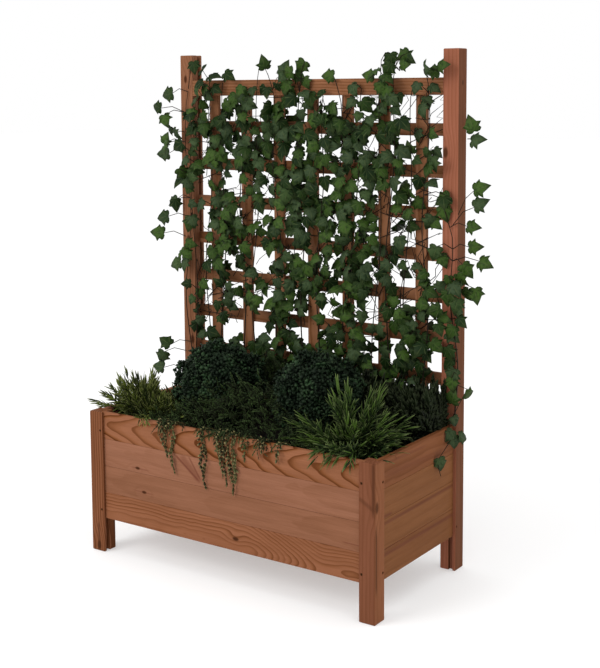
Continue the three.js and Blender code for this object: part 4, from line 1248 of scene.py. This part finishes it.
def wandering(start, end, depth, dice, bend):
    """A thin shoot from one place to another on the lattice, that bows and wavers."""
    count = max(5, int(np.hypot(end[0] - start[0], end[1] - start[1]) / 0.03))
    share = np.linspace(0, 1, count)
    phase = dice.uniform(0, 6.28, 3)
    waver = bend * (np.sin(9 * share + phase[0]) - math.sin(phase[0])) * np.sin(math.pi * share) ** 0.5
    x = start[0] + (end[0] - start[0]) * share + waver
    z = start[1] + (end[1] - start[1]) * share + 0.5 * waver
    return np.stack([x, depth + 0.004 * np.sin(13 * share + phase[2]), z], 1)


for seed, (place, bushes) in enumerate(BUSHES.items()):
    dice = np.random.RandomState(71 + seed)
    runners, wires, leaves = [], [], []
    for x0, z0, x1, z1 in RUNNERS[place]:
        wall = FRONT_OF_POSTS if abs(x0 + x1) / 2 > LATTICE_HALF or z1 > 1.36 else FRONT_OF_SLATS
        runners.append(wandering((x0, z0), (x1, z1), wall - 0.008 - dice.uniform(0, 0.008), dice, 0.012))
    for x, z, count in bushes:
        dice = np.random.RandomState(9000 + 97 * x + z)
        x, z = x / 100, z / 100
        wall = FRONT_OF_POSTS if abs(x) > LATTICE_HALF or z > 1.35 else FRONT_OF_SLATS
        spread = BUSH_LEAST + BUSH_MORE * count
        near = min(
            (point for line in runners for point in line), key=lambda p: math.hypot(p[0] - x, p[2] - z))
        heart = np.array([x, wall - 0.014, z])
        wires.append(np.array([near, (near + heart) / 2 + [0, -0.004, 0.006], heart]))
        own = dice.uniform(0.1, 0.8)
        for k in range(count):
            around = 2.4 * k + dice.uniform(-0.5, 0.5)
            away = spread * math.sqrt((k + 0.3) / count)
            deep = dice.uniform(0, 1) < BEHIND_SHARE and z < 1.33 and abs(x) < LATTICE_HALF
            depth = BEHIND_SLATS + dice.uniform(0.003, 0.02) if deep else wall - 0.010 - dice.uniform(0, 0.042)
            foot = np.array([x + math.cos(around) * away, depth, z + 0.012 + math.sin(around) * away])
            tip = np.array([
                0.55 * math.cos(around) + dice.normal(0, 0.45), dice.normal(-0.10, 0.25),
                0.35 * math.sin(around) - 0.65 + dice.normal(0, 0.35)])
            facing = np.array([dice.normal(0.15, 0.40), -1.0, dice.normal(0.30, 0.40)])
            leaves.append((foot, tip, facing, dice.uniform(*BUSH_LEAVES), own + dice.normal(0, 0.22)))
            if not deep:
                wires.append(np.array([heart, (heart + foot) / 2 + [0, -0.005, 0.003], foot]))
    for x, z, turn in LONERS[place]:
        size = dice.uniform(*LONE_LEAVES)
        turn = math.radians(turn)
        tip = np.array([math.sin(turn), dice.normal(-0.1, 0.15), -math.cos(turn)])
        middle = np.array([x / 1000, FRONT_OF_POSTS - dice.uniform(0.010, 0.022), z / 1000])
        foot = middle - unit(tip) * size * LEAF_MIDDLE
        facing = np.array([dice.normal(0.35, 0.3), -1.0, dice.normal(0.2, 0.3)])
        leaves.append((foot, tip, facing, size, dice.uniform(0.2, 1.0)))
        near = min((point for line in runners for point in line), key=lambda p: np.linalg.norm(p - foot))
        far = np.linalg.norm(near - foot)
        root = near if far < LONG_STALK else foot + (near - foot) * LONG_STALK / far
        bend = (root + foot) / 2 + [0, -0.004, 0.012]
        if x > 530 and z > 1200:
            # These come round from behind the post
            root, bend = ((inside, BEHIND_SLATS + 0.017, z / 1000) for inside in (0.500, 0.532))
        wires.append(np.array([root, bend, foot]))
    if place == "right":
        line = [SHOOT_FOOT]
        for x, y, z, turn in SHOOT:
            turn = math.radians(turn)
            tip = np.array([0.3 * math.sin(turn), math.sin(turn), -math.cos(turn)])
            middle = np.array([x, y, z]) / 1000
            size = dice.uniform(*SHOOT_LEAVES)
            foot = middle - unit(tip) * size * LEAF_MIDDLE
            facing = np.array([1.0, -0.8, dice.normal(0.2, 0.3)])
            leaves.append((foot, tip, facing, size, dice.uniform(0.3, 1.0)))
            line.append(tuple(middle - [0.006, 0, -0.012]))
        wires.append(np.array(line + SHOOT_END))
    low_x, high_x = min(bushes)[0] / 100, max(bushes)[0] / 100
    for _ in range(TENDRILS[place]):
        start = (dice.uniform(max(low_x, -0.44), min(high_x, 0.44)), dice.uniform(0.62, 1.36))
        around, reach = dice.uniform(0, math.pi), dice.uniform(0.07, 0.17)
        end = (np.clip(start[0] + reach * math.cos(around), -0.46, 0.46), start[1] + reach * math.sin(around))
        wires.append(wandering(start, (end[0], min(end[1], 1.38)), FRONT_OF_SLATS - 0.004, dice, 0.020))
    foot, tip, facing, size, shade = (np.array(column) for column in zip(*leaves))
    places = set_out(foot, tip, facing, size[:, None])
    ivy = repeat(f"ivy_plant_{place}", ivy_leaf, places, np.clip(shade, 0, 1), smooth=False)
    ivy = joined(ivy, stalks("runners", runners, 0.0022, 0.0012), stalks("wires", wires, 0.0014, 0.0010))
    plant(ivy, f"ivy_{place}", ivy_paint)

for model in (box_leaf, grass_blade, willow_blade, fern_leaflet, needle, strand_leaf, ivy_leaf):
    bpy.data.objects.remove(model)
